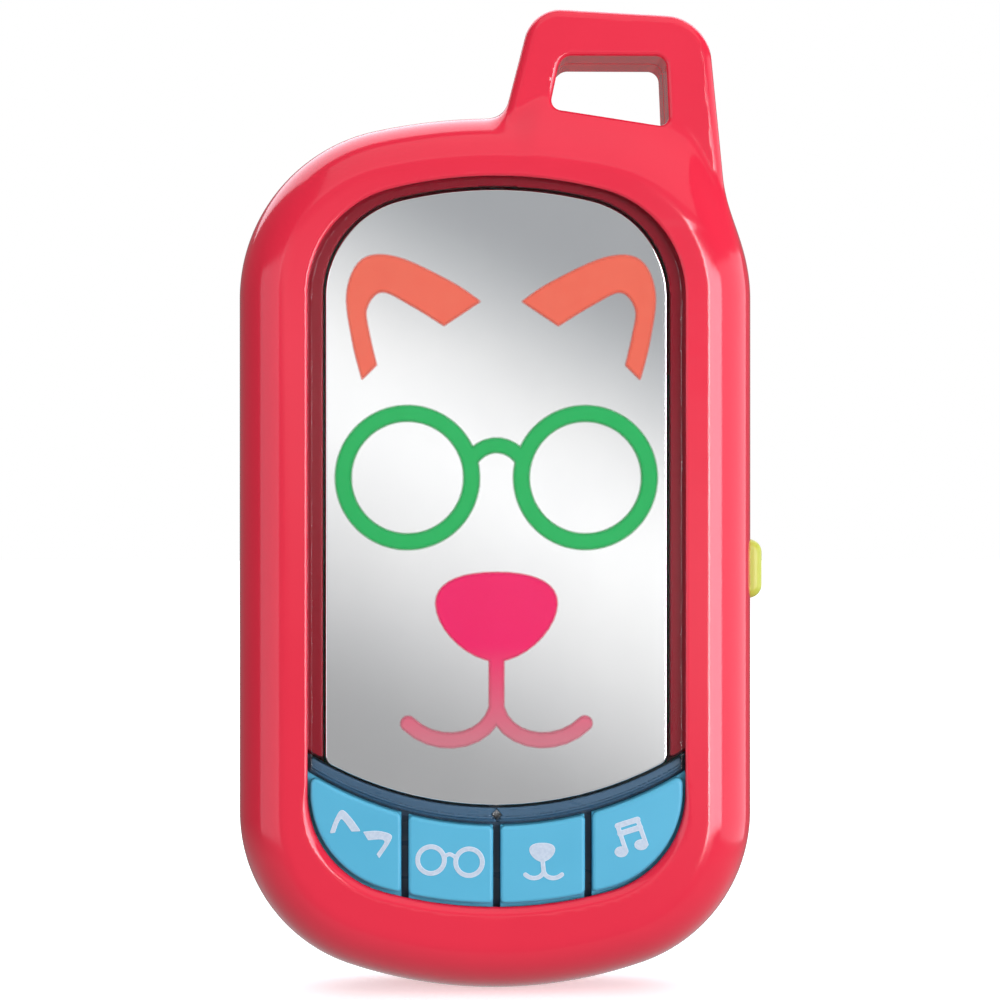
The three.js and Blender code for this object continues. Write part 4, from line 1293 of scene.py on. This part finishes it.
def card_height(slant):
    """Where a slant through the mirror lands on the card, seen from the camera."""
    mirror_y = MIRROR_Y[0] * MM
    far = (mirror_y - CARD_Y) / (mirror_y - CAMERA_AT.y)
    camera_slant = CAMERA_AT.z + CARD_LEAN * CAMERA_AT.x
    return (1 + far) * (slant + CARD_LEAN * MID_X) * MM - far * camera_slant


def mirror_card():
    """A large card behind the camera, whose graded tones show in the mirror."""
    low, high = CARD_MIDDLE_Z - CARD_HALF, CARD_MIDDLE_Z + CARD_HALF
    card = sheet("mirror_card", [
        (-CARD_HALF, CARD_Y, high), (CARD_HALF, CARD_Y, high),
        (CARD_HALF, CARD_Y, low), (-CARD_HALF, CARD_Y, low),
    ])
    made = Finish("card_tones")
    parts = made.node("ShaderNodeSeparateXYZ", {"Vector": made.place}).outputs
    lean = made.node("ShaderNodeMath", {0: parts["X"], 1: CARD_LEAN}, operation="MULTIPLY").outputs[0]
    slant = made.node("ShaderNodeMath", {0: parts["Z"], 1: lean}, operation="ADD").outputs[0]
    first, last = CARD_TONES[0][0], CARD_TONES[-1][0]
    share = made.between(slant, 0, 1, card_height(first), card_height(last))
    tones = made.node("ShaderNodeValToRGB", {"Fac": share})
    tones.color_ramp.interpolation = "B_SPLINE"
    elements = tones.color_ramp.elements
    for _ in CARD_TONES[2:]:
        elements.new(0.5)
    for element, (height, tone) in zip(elements, CARD_TONES):
        element.position = (height - first) / (last - first)
        element.color = srgb(tone)
    light = {"Color": tones.outputs[0], "Strength": CARD_GLOW}
    made.surface(made.node("ShaderNodeEmission", light).outputs[0])
    card.data.materials.append(made.material)
    card.visible_camera = False
    card.visible_diffuse = False


def surroundings():
    """White to the camera, grey in reflections and paler below, and dim as a light."""
    world = bpy.data.worlds.new("studio")
    bpy.context.scene.world = world
    world.use_nodes = True
    made = Nodes(world.node_tree)
    ray = made.node("ShaderNodeLightPath").outputs
    direction = made.node("ShaderNodeTexCoord").outputs["Generated"]
    upward = made.node("ShaderNodeSeparateXYZ", {"Vector": direction}).outputs["Z"]
    mirrored = made.between(upward, *WORLD_MIRRORED, *WORLD_FADE)
    lighting = {"Factor": ray["Is Glossy Ray"], 2: WORLD_LIGHT, 3: mirrored}
    unseen = made.node("ShaderNodeMix", lighting).outputs[0]
    shown = made.node("ShaderNodeMix", {"Factor": ray["Is Camera Ray"], 2: unseen, 3: 1.0})
    background = made.tree.nodes["Background"]
    made.feed(background.inputs["Color"], (1, 1, 1, 1))
    made.feed(background.inputs["Strength"], shown.outputs[0])


def camera():
    data = bpy.data.cameras.new("camera")
    data.lens = CAMERA_LENS
    data.sensor_width = 36
    data.clip_start = 0.02
    holder = bpy.data.objects.new("camera", data)
    bpy.context.scene.collection.objects.link(holder)
    aim(holder, CAMERA_AT, CAMERA_AIM)
    bpy.context.scene.camera = holder


camera()
surroundings()
pale_floor()
mirror_card()
softbox("right_box", 36, 0, (0.62, 0.46), 7.6, COOL)
softbox("right_edge", 16.5, 0, (0.05, 0.46), 22)
softbox("side_box", 92, 0, (1.7, 0.7), 1.5, COOL)
softbox("left_box", -55, 0, (1.0, 0.6), 1.35, COOL)
softbox("top_box", 10, 60, (1.4, 1.2), 0.8)
softbox("back_box", 180, 50, (1.8, 1.0), 2.2, COOL)
bpy.context.scene.view_settings.view_transform = "Standard"
